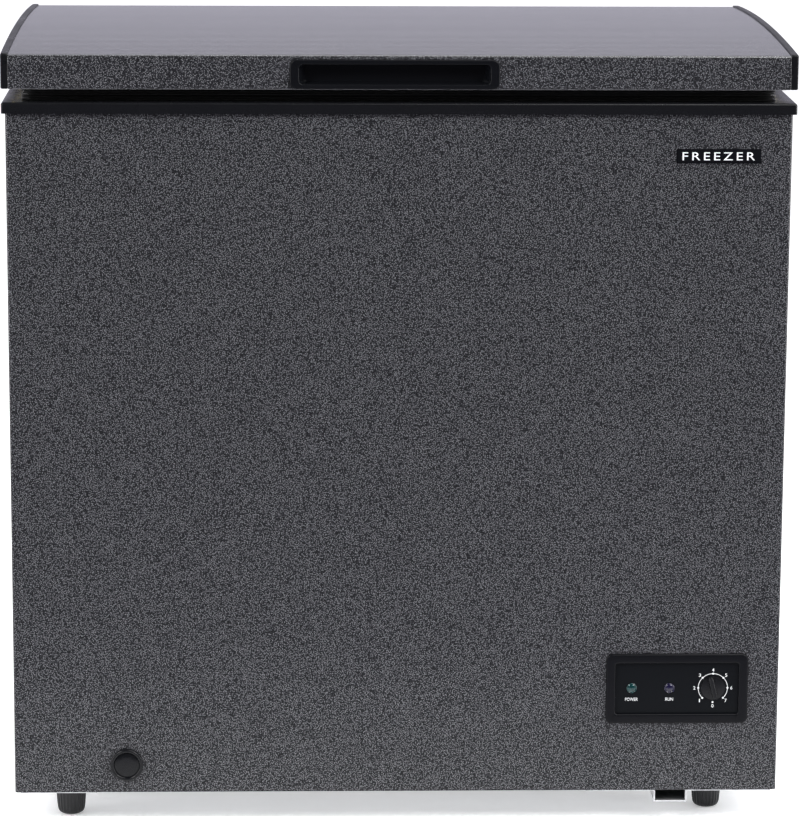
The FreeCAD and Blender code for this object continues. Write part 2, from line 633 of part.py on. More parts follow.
def loops_round(x0, x1, y0, y1, low, high, pitch):
    """Corner points of a coil that climbs while it goes round a block."""
    points = []
    level = low
    while level + pitch <= high:
        points += [(x1, y1, level), (x0, y1, level + pitch * 0.3),
                   (x0, y0, level + pitch * 0.45), (x1, y0, level + pitch * 0.85)]
        level += pitch
    return points


off = k["evaporator"] + 1
evaporator_path = loops_round(-n["tub_x"] - off, n["tub_x"] + off, n["tub_front"] - off,
                              n["tub_back"] + off, n["step_z"] + 30, n["rim"] - 60,
                              k["evaporator_pitch"])
evaporator = tube(evaporator_path, k["evaporator"], 30)
node("evaporator_coil", fixed_shape(evaporator))
into = k["condenser"] + 1
condenser_path = []
level = 110
flip = False
while level < n["rim"] - 70:
    pair = [(-n["inside"] + into, n["front"] + 60, level),
            (-n["inside"] + into, n["back"] - 60, level)]
    condenser_path += pair[::-1] if flip else pair
    flip = not flip
    level += k["condenser_pitch"]
condenser = tube(condenser_path, k["condenser"], 20)
node("condenser_coil", fixed_shape(condenser))

foam_block = cut(soften(box((IN_LEFT, IN_RIGHT), (IN_FRONT, "place.foam_back"),
                            ("place.foam_low", "place.rim")), inner_bend, at_front),
                 box(("place.bay - size.steel", IN_RIGHT), (IN_FRONT, "place.foam_back"),
                     ("place.foam_low", "place.bay_top")),
                 tub_block, box(lip_x, lip_y, lip_z))
foam_pockets = [
    rod("z", "size.insert + size.gap", foot_places[corner], "place.foam_low", insert_high)
    for corner in ("front_left", "rear_left")]
foam_pockets += [rod("y", "size.screw + size.gap", spot, "place.panel_back - 10", "place.back")
                 for spot in screw_spots]
foam_pockets += [
    drain_tube_hole,
    rod("y", "size.drain_bore + size.drain_wall + size.gap", ("place.drain_x", "place.drain_z"),
        IN_FRONT, "place.drain_y"),
    box(("place.drain_x - size.drain_bore - size.drain_wall - size.gap",
         "place.drain_x + size.drain_bore + size.drain_wall + size.gap"),
        ("place.drain_y - 5", "place.drain_y + size.drain_bore + size.drain_wall + size.gap"),
        ("place.drain_z - size.drain_bore - size.drain_wall - size.gap", "place.drain_z + 5")),
    fixed_shape(tube(evaporator_path, k["evaporator"] + 0.4, 30)),
    fixed_shape(tube(condenser_path, k["condenser"] + 0.4, 20)),
]
node("cabinet_foam", cut(foam_block, *foam_pockets))

# ---------------------------------------------------------------------------------------------
# Collar: four mitred lengths of one black plastic section
# ---------------------------------------------------------------------------------------------
out_x = "place.side + size.collar_overhang"
out_front = "place.front - size.collar_overhang"
out_back = "place.back + size.collar_rear"
open_x = "place.opening_x"
collar_outer = soften(box((f"-({out_x})", out_x), (out_front, out_back),
                          ("place.collar_low", "place.collar_top")), 3,
                      lambda edge: along("z", edge)
                      or edge.CenterOfMass.z > number(place.collar_top) - 0.01)
tub_round = number(size.tub_corner) - number(size.tub_wall)
collar_skirt = soften(box((f"-{open_x} - size.collar_step", f"{open_x} + size.collar_step"),
                          ("place.opening_front - size.collar_step",
                           "place.opening_back + size.collar_step"),
                          ("place.rim - size.collar_skirt", "place.rim + 1")), tub_round,
                      lambda edge: along("z", edge))
steel_block = soften(box((LEFT, RIGHT), ("place.front", "place.back"),
                         ("place.collar_low - 20", "place.rim")), size.bend,
                     lambda edge: along("z", edge) and edge.CenterOfMass.y < 0)
collar_hole = soften(box((f"-{open_x}", open_x), ("place.opening_front", "place.opening_back"),
                         ("place.collar_low - 50", "place.collar_top + 5")),
                     tub_round - number(size.collar_step), lambda edge: along("z", edge))
collar_ring = cut(join(cut(collar_outer, steel_block), collar_skirt), collar_hole)
far_x = f"({out_x} + 1)"
slope = "(place.opening_front - place.front + size.collar_overhang)" \
        f" / ({out_x} - {open_x})"
back_slope = f"({out_back} - place.opening_back) / ({out_x} - {open_x})"
inner_front = "place.opening_front + 6"
inner_back = "place.opening_back - 6"
front_low = f"{out_front} - {slope}"
back_high = f"{out_back} + {back_slope}"
in_x_front = f"({open_x} - 6 / ({slope}))"
in_x_back = f"({open_x} - 6 / ({back_slope}))"
collar_cuts = {
    "front": [(f"-{far_x}", front_low), (far_x, front_low), (in_x_front, inner_front),
              (f"-{in_x_front}", inner_front)],
    "rear": [(f"-{in_x_back}", inner_back), (in_x_back, inner_back), (far_x, back_high),
             (f"-{far_x}", back_high)],
    "left": [(f"-{far_x}", front_low), (f"-{in_x_front}", inner_front),
             (f"-{in_x_back}", inner_back), (f"-{far_x}", back_high)],
    "right": [(far_x, front_low), (far_x, back_high), (in_x_back, inner_back),
              (in_x_front, inner_front)],
}
for where, corners in collar_cuts.items():
    wedge = pad("XY", [corners], "place.collar_low - 25", "place.collar_top + 5",
                name=f"Mitre{where.title()}")
    node(f"collar_{where}", common(collar_ring, wedge))

# ---------------------------------------------------------------------------------------------
# Lid: crowned skin, end caps, foam, inner panel, gasket, handle cup
# ---------------------------------------------------------------------------------------------


def crowned(x, inset, low):
    """The lid's block between two x limits, inset everywhere from its outer surface."""
    radius = "((size.lid_depth / 2) ^ 2 + size.lid_crown ^ 2) / (2 * size.lid_crown)"
    block = box(x, (f"place.lid_front + {inset}", f"place.lid_back - {inset}"),
                (low, "place.lid_edge + size.lid_crown * 2"))
    drum = rod("x", f"{radius} - {inset}",
               ("place.lid_middle", f"place.lid_edge + size.lid_crown - {radius}"),
               f"{x[0]} - 1", f"{x[1]} + 1")
    bend = number(size.lid_bend) - probe(inset)
    half = number(size.lid_depth) / 2 - probe(inset) - 0.01
    return soften(common(block, drum), bend, lambda edge: along("x", edge)
                  and edge.CenterOfMass.z > number(place.lid_edge) - 5
                  and abs(edge.CenterOfMass.y - number(place.lid_middle)) > half)


skin_x = ("-place.skin_x", "place.skin_x")
lid_outer = crowned(skin_x, "0", "place.lid_low")
lid_inner = crowned(skin_x, "size.steel", "place.hem_top")
hem_y = ("place.lid_front + size.lid_hem", "place.lid_back - size.lid_hem")
handle_x = ("size.handle_shift - size.handle_width / 2", "size.handle_shift + size.handle_width / 2")
handle_mid = "(place.lid_low + size.handle_height / 2 + 0.4)"
handle_z = (f"{handle_mid} - size.handle_height / 2", f"{handle_mid} + size.handle_height / 2")
recess_x = (f"{handle_x[0]} + size.handle_border", f"{handle_x[1]} - size.handle_border")
recess_z = (f"{handle_z[0]} + size.handle_edge", f"{handle_z[1]} - size.handle_edge")
cup_x = (f"{recess_x[0]} - size.handle_wall", f"{recess_x[1]} + size.handle_wall")
cup_z = (f"{recess_z[0]} - size.handle_wall", f"{recess_z[1]} + size.handle_wall")
cup_back = "place.lid_front + size.handle_reach"
cup_space = box(cup_x, ("place.lid_front - 5", cup_back), cup_z)
pan_x = ("size.pan_inset - place.opening_x", "place.opening_x - size.pan_inset")
pan_y = ("place.opening_front + size.pan_inset", "place.opening_back - size.pan_inset")
pan_low = "place.lid_low - size.lid_sheet - size.pan_drop"
leaf_spots = [(f"{hinge} {side} 25", height) for hinge in (middle, f"-{middle}") for side in "+-"
              for height in ("place.lid_low + 9", "place.lid_edge - 10")]
leaf_holes = [rod("y", "size.screw", spot, "place.lid_back - 2", "place.lid_back + 9")
              for spot in leaf_spots]
leaf_pockets = [rod("y", "size.screw + size.gap", spot, "place.lid_back - 9", "place.lid_back + 9")
                for spot in leaf_spots]
node("lid_skin", cut(cut(lid_outer, lid_inner), cup_space, *leaf_holes,
                     box(skin_x, hem_y, ("place.lid_low - 1", "place.hem_top + 1"))))


def pan_block(inset, top):
    """The inner panel's pan, its corners rounded."""
    block = box((f"{pan_x[0]} + {inset}", f"{pan_x[1]} - {inset}"),
                (f"{pan_y[0]} + {inset}", f"{pan_y[1]} - {inset}"), (f"{pan_low} + {inset}", top))
    return soften(block, 20 - probe(inset), lambda edge: along("z", edge))


pan_inside = pan_block("size.lid_sheet", "place.lid_low + 1")
foam_floor = box(skin_x, hem_y, ("place.lid_low", "place.hem_top"))
foam_pan = common(pan_block("size.lid_sheet", "place.lid_low + 0.5"),
                  box(skin_x, hem_y, (pan_low, "place.lid_low + 0.5")))
node("lid_foam", cut(join(lid_inner, foam_floor, foam_pan), cup_space, *leaf_pockets))
liner_border = box(("4 - place.skin_x", "place.skin_x - 4"),
                   ("place.lid_front + size.lid_hem - 4", "place.lid_back - size.lid_hem + 4"),
                   ("place.lid_low - size.lid_sheet", "place.lid_low"))
node("lid_liner", cut(join(liner_border, pan_block("0", "place.lid_low - 0.5")), pan_inside))

cap_outer = crowned(("place.skin_x", "place.lid_half"), "(0 - size.cap_rise)", "place.lid_low")
cap_front = box(("place.skin_x - 1", "place.lid_half + 1"), ("place.lid_front", "place.lid_back"),
                ("place.lid_low - 1", "place.lid_edge + size.lid_crown * 2"))
cap_hollow = crowned(("place.skin_x", "place.lid_half - size.cap_wall"), "size.cap_wall",
                     "place.lid_low + size.cap_wall")
end_cap = cut(common(cap_outer, cap_front), cap_hollow)
node("end_cap_right", end_cap)
node("end_cap_left", mirror(end_cap))


def ring(inset, thick, z, bend):
    """A rounded frame, inset from the lid's edge."""
    edge = [(f"({inset}) - place.lid_half", f"place.lid_half - ({inset})"),
            (f"place.lid_front + {inset}", f"place.lid_back - ({inset})")]
    hole = [(f"({inset}) + ({thick}) - place.lid_half", f"place.lid_half - ({inset}) - ({thick})"),
            (f"place.lid_front + {inset} + {thick}", f"place.lid_back - ({inset}) - ({thick})")]
    outer = soften(box(*edge, z), bend, lambda each: along("z", each))
    inner = soften(box(*hole, (f"{z[0]} - 1", f"{z[1]} + 1")), bend - probe(thick) / 2,
                   lambda each: along("z", each))
    return cut(outer, inner)


gasket_low, gasket_high = "place.collar_top + size.gap", "place.lid_low - size.lid_sheet - size.gap"
third = f"(({gasket_high}) - ({gasket_low})) / 3"
gasket = join(
    ring("size.gasket_inset", "size.gasket_width", (gasket_low, f"{gasket_low} + {third}"), 14),
    ring("size.gasket_inset + 3", "size.gasket_width - 6",
         (f"{gasket_low} + {third}", f"{gasket_high} - {third}"), 12),
    ring("size.gasket_inset", "size.gasket_width", (f"{gasket_high} - {third}", gasket_high), 14))
node("lid_gasket", gasket)

bezel = soften(box(handle_x, ("place.lid_front - size.handle_proud", "place.lid_front"), handle_z),
               size.handle_round, lambda edge: along("y", edge))
bezel = soften(bezel, 1.2, lambda edge: abs(edge.CenterOfMass.y - number(place.lid_front)
                                            + number(size.handle_proud)) < 0.01)
recess = soften(box(recess_x, ("place.lid_front - 5", f"{cup_back} - size.handle_wall"), recess_z),
                3.5, lambda edge: along("y", edge))
node("handle_cup", cut(join(bezel, box(cup_x, ("place.lid_front - 0.5", cup_back), cup_z)), recess))

# ---------------------------------------------------------------------------------------------
# Hinges: screwed channel with a guided plunger on a spring, under an eccentric on the leaf
# ---------------------------------------------------------------------------------------------
plunger_low = "place.plunger_z - size.plunger_length"
cheek = [("place.back", "place.hinge_low"), ("place.hinge_end - 6", "place.hinge_low"),
         ("place.hinge_end", "place.hinge_low + 8"), ("place.hinge_end", "place.hinge_z - 12"),
         ("place.hinge_y + size.ear - 0.5", "place.hinge_z - 4"),
         ("place.hinge_y + size.ear - 0.5", "place.hinge_z"),
         ("place.hinge_y - size.ear + 0.5", "place.hinge_z"),
         ("place.hinge_y - size.ear + 0.5", "place.hinge_z - 4"),
         (f"{out_back} + size.gap", "place.hinge_z - 12"),
         (f"{out_back} + size.gap", "place.collar_low - size.gap"),
         ("place.back", "place.collar_low - size.gap")]
cheek_body = pad("YZ", [cheek], f"{middle} - {half_wide}", f"{middle} + {half_wide}",
                 name="HingeCheeks")
ear_round = rod("x", "size.ear - 0.5", ("place.hinge_y", "place.hinge_z"),
                f"{middle} - {half_wide}", f"{middle} + {half_wide}")
well_x = (f"{middle} - {half_wide} + size.hinge_sheet", f"{middle} + {half_wide} - size.hinge_sheet")
well = box(well_x, ("place.back - 1", "place.hinge_end - size.hinge_sheet"),
           ("place.hinge_low + size.hinge_sheet", "place.hinge_z + 20"))
window = box(well_x, ("place.back - 1", "place.hinge_end + 1"),
             ("place.hinge_z - 12", "place.hinge_z + 20"))
wings = box((f"{middle} - {half_wide} - size.hinge_flange", f"{middle} + {half_wide} + size.hinge_flange"),
            ("place.back", "place.back + size.hinge_sheet"),
            ("place.hinge_low", "place.collar_low - size.gap"))
guide_z = (f"{plunger_low} + 7", f"{plunger_low} + 7 + size.hinge_sheet")
guide = cut(box(well_x, ("place.back + size.hinge_sheet", "place.hinge_end - size.hinge_sheet"),
                guide_z),
            rod("z", "size.plunger + size.fit_gap", (middle, "place.hinge_y"),
                f"{guide_z[0]} - 1", f"{guide_z[1]} + 1"))
housing = cut(join(cut(join(cheek_body, ear_round), well, window), wings, guide),
              rod("x", "size.pin + size.fit_gap", ("place.hinge_y", "place.hinge_z"),
                  f"{middle} - 40", f"{middle} + 40"), *screw_holes[:4])
node("hinge_housing_right", housing)
node("hinge_housing_left", mirror(housing))
housing_screws = [join(rod("y", "size.screw", spot, "place.panel_back - 9",
                           "place.back + size.hinge_sheet"),
                       rod("y", "size.screw_head", spot, "place.back + size.hinge_sheet",
                           "place.back + size.hinge_sheet + 2", "size.screw_head * 0.6"))
                  for spot in screw_spots]

arm_x = (f"{middle} - {half_wide} + size.hinge_sheet + size.gap",
         f"{middle} + {half_wide} - size.hinge_sheet - size.gap")
arm_profile = pad("YZ", [[("place.lid_back", "place.lid_low + 4"),
                          ("place.hinge_y - size.pin - 1.5", "place.hinge_z"),
                          ("place.hinge_y + size.pin + 1.5", "place.hinge_z"),
                          ("place.lid_back + size.hinge_sheet", "place.lid_low + 22"),
                          ("place.lid_back", "place.lid_low + 22")]], *arm_x, name="LeafArms")
eye = rod("x", "size.pin + 1.8", ("place.hinge_y", "place.hinge_z"), *arm_x)
arm_gap = box((f"{arm_x[0]} + size.hinge_sheet", f"{arm_x[1]} - size.hinge_sheet"),
              ("place.lid_back - 5", "place.hinge_end"), ("place.hinge_z - 20", "place.lid_edge"))
eccentric = rod("x", "size.cam", ("place.hinge_y - place.cam_drop", "place.hinge_z - place.cam_drop"),
                f"{middle} - size.cam_width / 2", f"{middle} + size.cam_width / 2")
cam_boss = rod("x", "size.pin + 1.8", ("place.hinge_y", "place.hinge_z"), *arm_x)
leaf_x = (f"{middle} - 32", f"{middle} + 32")
leaf_z = ("place.lid_low + 3", "place.lid_edge - 4")
leaf_plate = box(leaf_x, ("place.lid_back", "place.lid_back + size.hinge_sheet"), leaf_z)
eye_bore = rod("x", "size.pin", ("place.hinge_y", "place.hinge_z"), f"{middle} - 40", f"{middle} + 40")
leaf = cut(join(cut(join(arm_profile, eye), arm_gap), cam_boss, eccentric, leaf_plate),
           eye_bore, *leaf_holes[:4])
node("hinge_leaves", group(leaf, mirror(leaf)))
pin_x = (f"{middle} - {half_wide} - 1.5", f"{middle} + {half_wide} + 1.5")
leaf_pin = rod("x", "size.pin", ("place.hinge_y", "place.hinge_z"), *pin_x)
node("hinge_pins", group(leaf_pin, mirror(leaf_pin)))
node("leaf_screws", group(*[
    join(rod("y", "size.screw", spot, "place.lid_back - 8", "place.lid_back + size.hinge_sheet"),
         rod("y", "size.screw_head", spot, "place.lid_back + size.hinge_sheet",
             "place.lid_back + size.hinge_sheet + 2", "size.screw_head * 0.6"))
    for spot in leaf_spots]))

plunger = join(rod("z", "size.plunger", (middle, "place.hinge_y"), plunger_low, "place.plunger_z"),
               rod("z", "size.plunger + 3", (middle, "place.hinge_y"), f"{plunger_low} - 2.5",
                   plunger_low))
node("hinge_plunger_right", plunger)
node("hinge_plunger_left", mirror(plunger))
spring_low = n["hinge_low"] + k["hinge_sheet"] + k["gap"]
spring_high = probe(plunger_low) - 2.5 - k["gap"]
wire = k["spring_wire"]
coil_height = spring_high - spring_low - wire
helix = Part.makeHelix(coil_height / k["spring_turns"], coil_height, k["plunger"] + 1.6)
ring_start = Part.Wire(Part.makeCircle(wire / 2, FreeCAD.Vector(k["plunger"] + 1.6, 0, 0),
                                       FreeCAD.Vector(0, 1, 0)))
sweep = Part.BRepOffsetAPI.MakePipeShell(Part.Wire(helix))
sweep.setFrenetMode(True)
sweep.setTolerance(1e-6, 1e-6, 1e-3)
sweep.add(ring_start)
sweep.build()
sweep.makeSolid()
spring = sweep.shape()
spring.translate(FreeCAD.Vector(probe(middle), n["hinge_y"], spring_low + wire / 2))
spring_right = fixed_shape(spring, "spring")
node("hinge_springs", group(spring_right, mirror(spring_right)))

# ---------------------------------------------------------------------------------------------
# Controls: bezel, fascia, lamps, thermostat and its knob; badge
# ---------------------------------------------------------------------------------------------


def panel(half_x, half_z, y, radius):
    """A rounded block centred on the controls."""
    block = box((f"place.panel_x - ({half_x})", f"place.panel_x + {half_x}"), y,
                (f"place.panel_z - ({half_z})", f"place.panel_z + {half_z}"))
    return soften(block, radius, lambda edge: along("y", edge))


half_px, half_pz = "size.panel_width / 2", "size.panel_height / 2"
bezel_front = "place.front - size.panel_proud"
border = panel(half_px, half_pz, (bezel_front, "place.front"), size.panel_round)
border = soften(border, 1.5, lambda edge: edge.CenterOfMass.y < probe(bezel_front) + 0.01)
skirt_x, skirt_z = (f"{half} - size.steel * 6 - size.gap" for half in (half_px, half_pz))
skirt = panel(skirt_x, skirt_z, ("place.front - 0.5", "place.front + 20"), 2)
peg_spots = [(f"place.panel_x {side} (size.panel_width / 2 - size.panel_border)",
              "place.panel_z - size.panel_height / 2 + size.panel_border * 0.65") for side in "-+"]
peg_holes = [rod("y", "size.screw", spot, f"{bezel_front} - 2", "place.front + 12")
             for spot in peg_spots]
control_bezel = cut(
    join(border, skirt),
    panel(f"{half_px} - size.panel_border", f"{half_pz} - size.panel_border",
          (f"{bezel_front} - 2", "place.front"), 3),
    box((f"place.panel_x - ({skirt_x}) + size.panel_skirt",
         f"place.panel_x + ({skirt_x}) - size.panel_skirt"),
        ("place.front", "place.front + 30"),
        (f"place.panel_z - ({skirt_z}) + size.panel_skirt",
         f"place.panel_z + ({skirt_z}) - size.panel_skirt")), *peg_holes)
node("control_bezel", control_bezel)
node("panel_pegs", group(*[
    join(rod("y", "size.screw", spot, bezel_front, "place.front + 10"),
         rod("y", "size.screw + 0.7", spot, f"{bezel_front} - 0.8", bezel_front))
    for spot in peg_spots]))
fascia_back = "place.fascia_y + size.fascia_sheet"
dial_spot = ("place.panel_x + size.dial", "place.panel_z")
lamp_spots = {"power_lens": ("place.panel_x + size.power_lamp", "place.panel_z"),
              "run_lens": ("place.panel_x + size.run_lamp", "place.panel_z")}
fascia = cut(
    box((f"place.panel_x - ({skirt_x}) + size.panel_skirt",
         f"place.panel_x + ({skirt_x}) - size.panel_skirt"), ("place.fascia_y", fascia_back),
        (f"place.panel_z - ({skirt_z}) + size.panel_skirt",
         f"place.panel_z + ({skirt_z}) - size.panel_skirt")),
    rod("y", "size.spindle + size.gap", dial_spot, "place.fascia_y - 1", f"{fascia_back} + 1"),
    *[rod("y", "size.lamp_stem + size.fit_gap", spot, "place.fascia_y - 1", f"{fascia_back} + 1")
      for spot in lamp_spots.values()])
node("control_fascia", fascia)
for name, spot in lamp_spots.items():
    lens = join(rod("y", "size.lamp_radius - 0.8", spot, "place.fascia_y - 1.2", "place.fascia_y",
                    "size.lamp_radius"),
                rod("y", "size.lamp_stem", spot, "place.fascia_y - 0.5", "place.fascia_y + 12"))
    node(name, lens)
node("indicator_board", box(("place.panel_x + size.power_lamp - 11", "place.panel_x + size.run_lamp + 9"),
                            ("place.fascia_y + 12", "place.fascia_y + 13.6"),
                            ("place.panel_z - 18", "place.panel_z + 18")))
thermostat = cut(
    join(box(("place.panel_x + size.dial - 20", "place.panel_x + size.dial + 20"),
             (fascia_back, "place.fascia_y + 36"), ("place.panel_z - 16", "place.panel_z + 16")),
         rod("y", "size.spindle + 3", dial_spot, "place.fascia_y + 30", "place.fascia_y + 44")),
    rod("y", "size.spindle + size.fit_gap", dial_spot, "place.fascia_y - 5",
        "place.fascia_y + 18.5"))
knob_back = "place.fascia_y - size.gap"
knob_face = f"{knob_back} - size.knob_disc"
knob_disc = soften(rod("y", "size.knob_radius", ("0", "0"), knob_face, knob_back), 0.8,
                   lambda edge: edge.CenterOfMass.y < probe(knob_face) + 0.01)
knob_bar = soften(box(("-3.2", "3.2"), (f"{knob_face} - size.knob_bar", f"{knob_face} + 0.5"),
                      ("2.2 - size.knob_radius", "size.knob_radius - 2.2")), 1.2,
                  lambda edge: edge.CenterOfMass.y < probe(knob_face))
knob = moved(cut(join(knob_disc, knob_bar),
                 rod("y", "size.spindle", ("0", "0"), f"{knob_face} + 0.8", "0")),
             "place.panel_x + size.dial", "0", "place.panel_z")
knob.Placement.Rotation = FreeCAD.Rotation(FreeCAD.Vector(0, -1, 0), 1)
knob.setExpression("Placement.Rotation.Angle", "size.knob_turn")
node("thermostat_knob", knob)
node("thermostat_spindle", rod("y", "size.spindle", dial_spot, f"{knob_face} + 0.8",
                               "place.fascia_y + 18"))

badge = soften(box(("place.side - size.badge_inset - size.badge_width",
                    "place.side - size.badge_inset"),
                   ("place.front - size.badge_sheet", "place.front"),
                   ("place.collar_low - size.badge_drop - size.badge_height / 2",
                    "place.collar_low - size.badge_drop + size.badge_height / 2")), 1,
               lambda edge: along("y", edge))
node("badge_plate", badge)

# ---------------------------------------------------------------------------------------------
# Drain: an elbow in the foam with a plug at each end
# ---------------------------------------------------------------------------------------------
drain_xy, drain_xz = ("place.drain_x", "place.drain_y"), ("place.drain_x", "place.drain_z")


def elbow(radius, high, near):
    """A vertical and a level run that meet in a ball."""
    ball = doc.addObject("Part::Sphere", "ball")
    ball.setExpression("Radius", f"{radius}")
    for letter in "xyz":
        ball.setExpression(f"Placement.Base.{letter}", f"place.drain_{letter}")
    return join(rod("z", radius, drain_xy, "place.drain_z", high),
                rod("y", radius, drain_xz, near, "place.drain_y"), ball)


node("drain_tube", cut(elbow("size.drain_bore + size.drain_wall", "place.tub_floor", "place.front"),
                       elbow("size.drain_bore", "place.tub_floor + 1", "place.front - 1")))
cap_face = "place.front - size.drain_proud"
cap_disc = soften(rod("y", "size.drain_cap", drain_xz, cap_face, "place.front - size.gap"), 2,
                  lambda edge: edge.CenterOfMass.y < probe(cap_face) + 0.01)
cap_dish = rod("y", "size.drain_cap - 4", drain_xz, f"{cap_face} - 1", f"{cap_face} + 1")
node("drain_cap", join(cut(cap_disc, cap_dish),
                       rod("y", "size.drain_bore - size.fit_gap", drain_xz, "place.front - 1",
                           "place.front + 14")))
tub_ground = "place.tub_floor + size.tub_wall"
node("drain_plug", join(
    rod("z", "size.drain_bore - size.fit_gap", drain_xy, "place.tub_floor - 9", f"{tub_ground} + 1"),
    rod("z", "size.drain_bore + 6", drain_xy, f"{tub_ground} + size.gap", f"{tub_ground} + 3"),
    rod("z", "4", drain_xy, f"{tub_ground} + 2", f"{tub_ground} + 11"),
    rod("z", "6", drain_xy, f"{tub_ground} + 10", f"{tub_ground} + 13")))

# ---------------------------------------------------------------------------------------------
# Machine bay: compressor on rubber, refrigerant lines, covers
# ---------------------------------------------------------------------------------------------
axis_xy = ("place.compressor_x", "size.compressor_y")
feet_low = "place.bottom + size.plate_lift"
feet_high = f"{feet_low} + size.foot_sheet"
pot = soften(rod("z", "size.compressor", axis_xy, feet_high, f"{feet_high} + size.compressor_height"),
             34, lambda edge: edge.Length > 100)
seam = rod("z", "size.compressor + 3", axis_xy, f"{feet_high} + 66", f"{feet_high} + 70")
compressor = join(pot, seam)
foot_sheet = soften(box(("place.compressor_x - size.mount_x - 14",
                         "place.compressor_x + size.mount_x + 14"),
                        ("size.compressor_y - size.mount_y - 14",
                         "size.compressor_y + size.mount_y + 14"), (feet_low, feet_high)), 12,
                    lambda edge: along("z", edge))
node("compressor_shell", join(compressor, cut(foot_sheet, *[
    rod("z", "size.bolt + size.gap", spot, f"{feet_low} - 1", f"{feet_high} + 1")
    for spot in bolt_spots])))
node("compressor_grommets", group(*[
    cut(rod("z", "size.grommet", spot, "place.bottom + size.gap", f"{feet_low} - size.gap"),
        rod("z", "size.bolt + 1", spot, "place.bottom - 1", f"{feet_low} + 1"))
    for spot in bolt_spots]))
node("compressor_bolts", group(*[
    join(rod("z", "size.bolt", spot, "place.foot_z", f"{feet_high} + 6"),
         rod("z", "size.bolt + 2.5", spot, "place.foot_z - 2.5", "place.foot_z"),
         rod("z", "size.bolt + 2.5", spot, feet_high, f"{feet_high} + 4.5"))
    for spot in bolt_spots]))
cover_y = ("size.compressor_y - size.compressor - 26", "size.compressor_y - size.compressor + 16")
cover = box(("place.compressor_x - 26", "place.compressor_x + 26"), cover_y,
            (f"{feet_high} + 76", f"{feet_high} + 126"))
cover_inside = box(("place.compressor_x - 24", "place.compressor_x + 24"),
                   (f"{cover_y[0]} + 2", f"{cover_y[1]} + 1"),
                   (f"{feet_high} + 78", f"{feet_high} + 124"))
node("terminal_cover", cut(cover, cover_inside, compressor))
relay = box(("place.compressor_x - 20", "place.compressor_x + 20"),
            (f"{cover_y[0]} + 2", "size.compressor_y - size.compressor - 1"),
            (f"{feet_high} + 82", f"{feet_high} + 120"))
node("start_relay", relay)

cx, cy, ch = n["compressor_x"], k["compressor_y"], probe(feet_high)
wall_x = n["bay"] + 0.05
rear_y = n["back"] - 60
node("discharge_line", fixed_shape(tube(
    [(cx, cy + k["compressor"], ch + 100), (cx, rear_y, ch + 100), (cx, rear_y, ch + 180),
     (wall_x, rear_y, ch + 180)], 3, 12)))
suction = fixed_shape(tube(
    [(cx + 36, cy + 45, ch + 115), (cx + 36, rear_y + 14, ch + 115),
     (cx + 36, rear_y + 14, ch + 190), (wall_x, rear_y + 14, ch + 190)], 4, 14))
node("suction_line", cut(suction, compressor))
dry_x, dry_y = "place.bay + 22", "place.back - 50"
dry_xy = (dry_x, dry_y)
node("filter_drier", join(
    rod("z", "9.5", dry_xy, "place.bottom + 60", "place.bottom + 135"),
    rod("z", "3", dry_xy, "place.bottom + 50", "place.bottom + 60", "9.5"),
    rod("z", "9.5", dry_xy, "place.bottom + 135", "place.bottom + 145", "3")))
dx, dy, dz = probe(dry_x), probe(dry_y), n["bottom"]
node("drier_tubes", group(
    fixed_shape(tube([(dx, dy, dz + 145), (dx, dy, dz + 165), (wall_x, dy, dz + 165)], 2.5, 8)),
    fixed_shape(tube([(dx, dy, dz + 50), (dx, dy, dz + 30), (dx, dy - 60, dz + 30),
                      (wall_x, dy - 60, dz + 30)], 1.2, 8))))
tx, ty = n["panel_x"] + k["dial"], n["fascia_y"] + 44
node("thermostat_body", join(thermostat, fixed_shape(tube(
    [(tx, ty - 1, n["panel_z"]), (tx, ty + 20, n["panel_z"]), (tx, ty + 20, n["bay_top"] - 14),
     (wall_x, ty + 20, n["bay_top"] - 14)], 1.2, 8))))

cover_x = (f"{bay_left} - 5", f"{bay_right} + 4")
cover_z = (f"{bay_low} - 5", f"{bay_high} + 5")
cover_rear = "place.panel_back + 1.2"
gland_spot = (f"{cover_x[1]} - 24", f"{cover_z[0]} + 24")
louvres = [box((f"{cover_x[0]} + {start}", f"{cover_x[0]} + {start + 68}"),
               ("place.panel_back - 1", "place.back + 9"),
               (f"{cover_z[0]} + {height}", f"{cover_z[0]} + {height + 5}"))
           for start in (16, 94) for height in range(52, 190, 15)]
rear_spots = [(x, z) for x in (f"{cover_x[0]} + 2.5", f"{cover_x[1]} - 2.5")
              for z in (f"{cover_z[0]} + 20", f"{cover_z[1]} - 20")]
rear_cover = cut(box(cover_x, ("place.panel_back", cover_rear), cover_z), *louvres,
                 rod("y", "size.cord_bore + 3.5", gland_spot, "place.panel_back - 5",
                     "place.back + 5"),
                 *[rod("y", "size.screw * 0.8", spot, "place.panel_back - 5", "place.back + 5")
                   for spot in rear_spots])
node("rear_cover", rear_cover)
node("rear_screws", group(*housing_screws, *[
    join(rod("y", "size.screw * 0.75", spot, "place.panel_back", cover_rear),
         rod("y", "size.screw_head * 0.6", spot, cover_rear, f"{cover_rear} + 1.6",
             "size.screw_head * 0.4"))
    for spot in rear_spots]))
gland_y = ("place.back - 3", "place.back - 3 + size.gland_length")
node("cord_gland", cut(join(
    rod("y", "size.cord_bore + 3.4", gland_spot, gland_y[0], cover_rear),
    rod("y", "size.cord_bore + 7", gland_spot, cover_rear, gland_y[1])),
    rod("y", "size.cord_bore", gland_spot, f"{gland_y[0]} - 1", f"{gland_y[1]} + 1")))

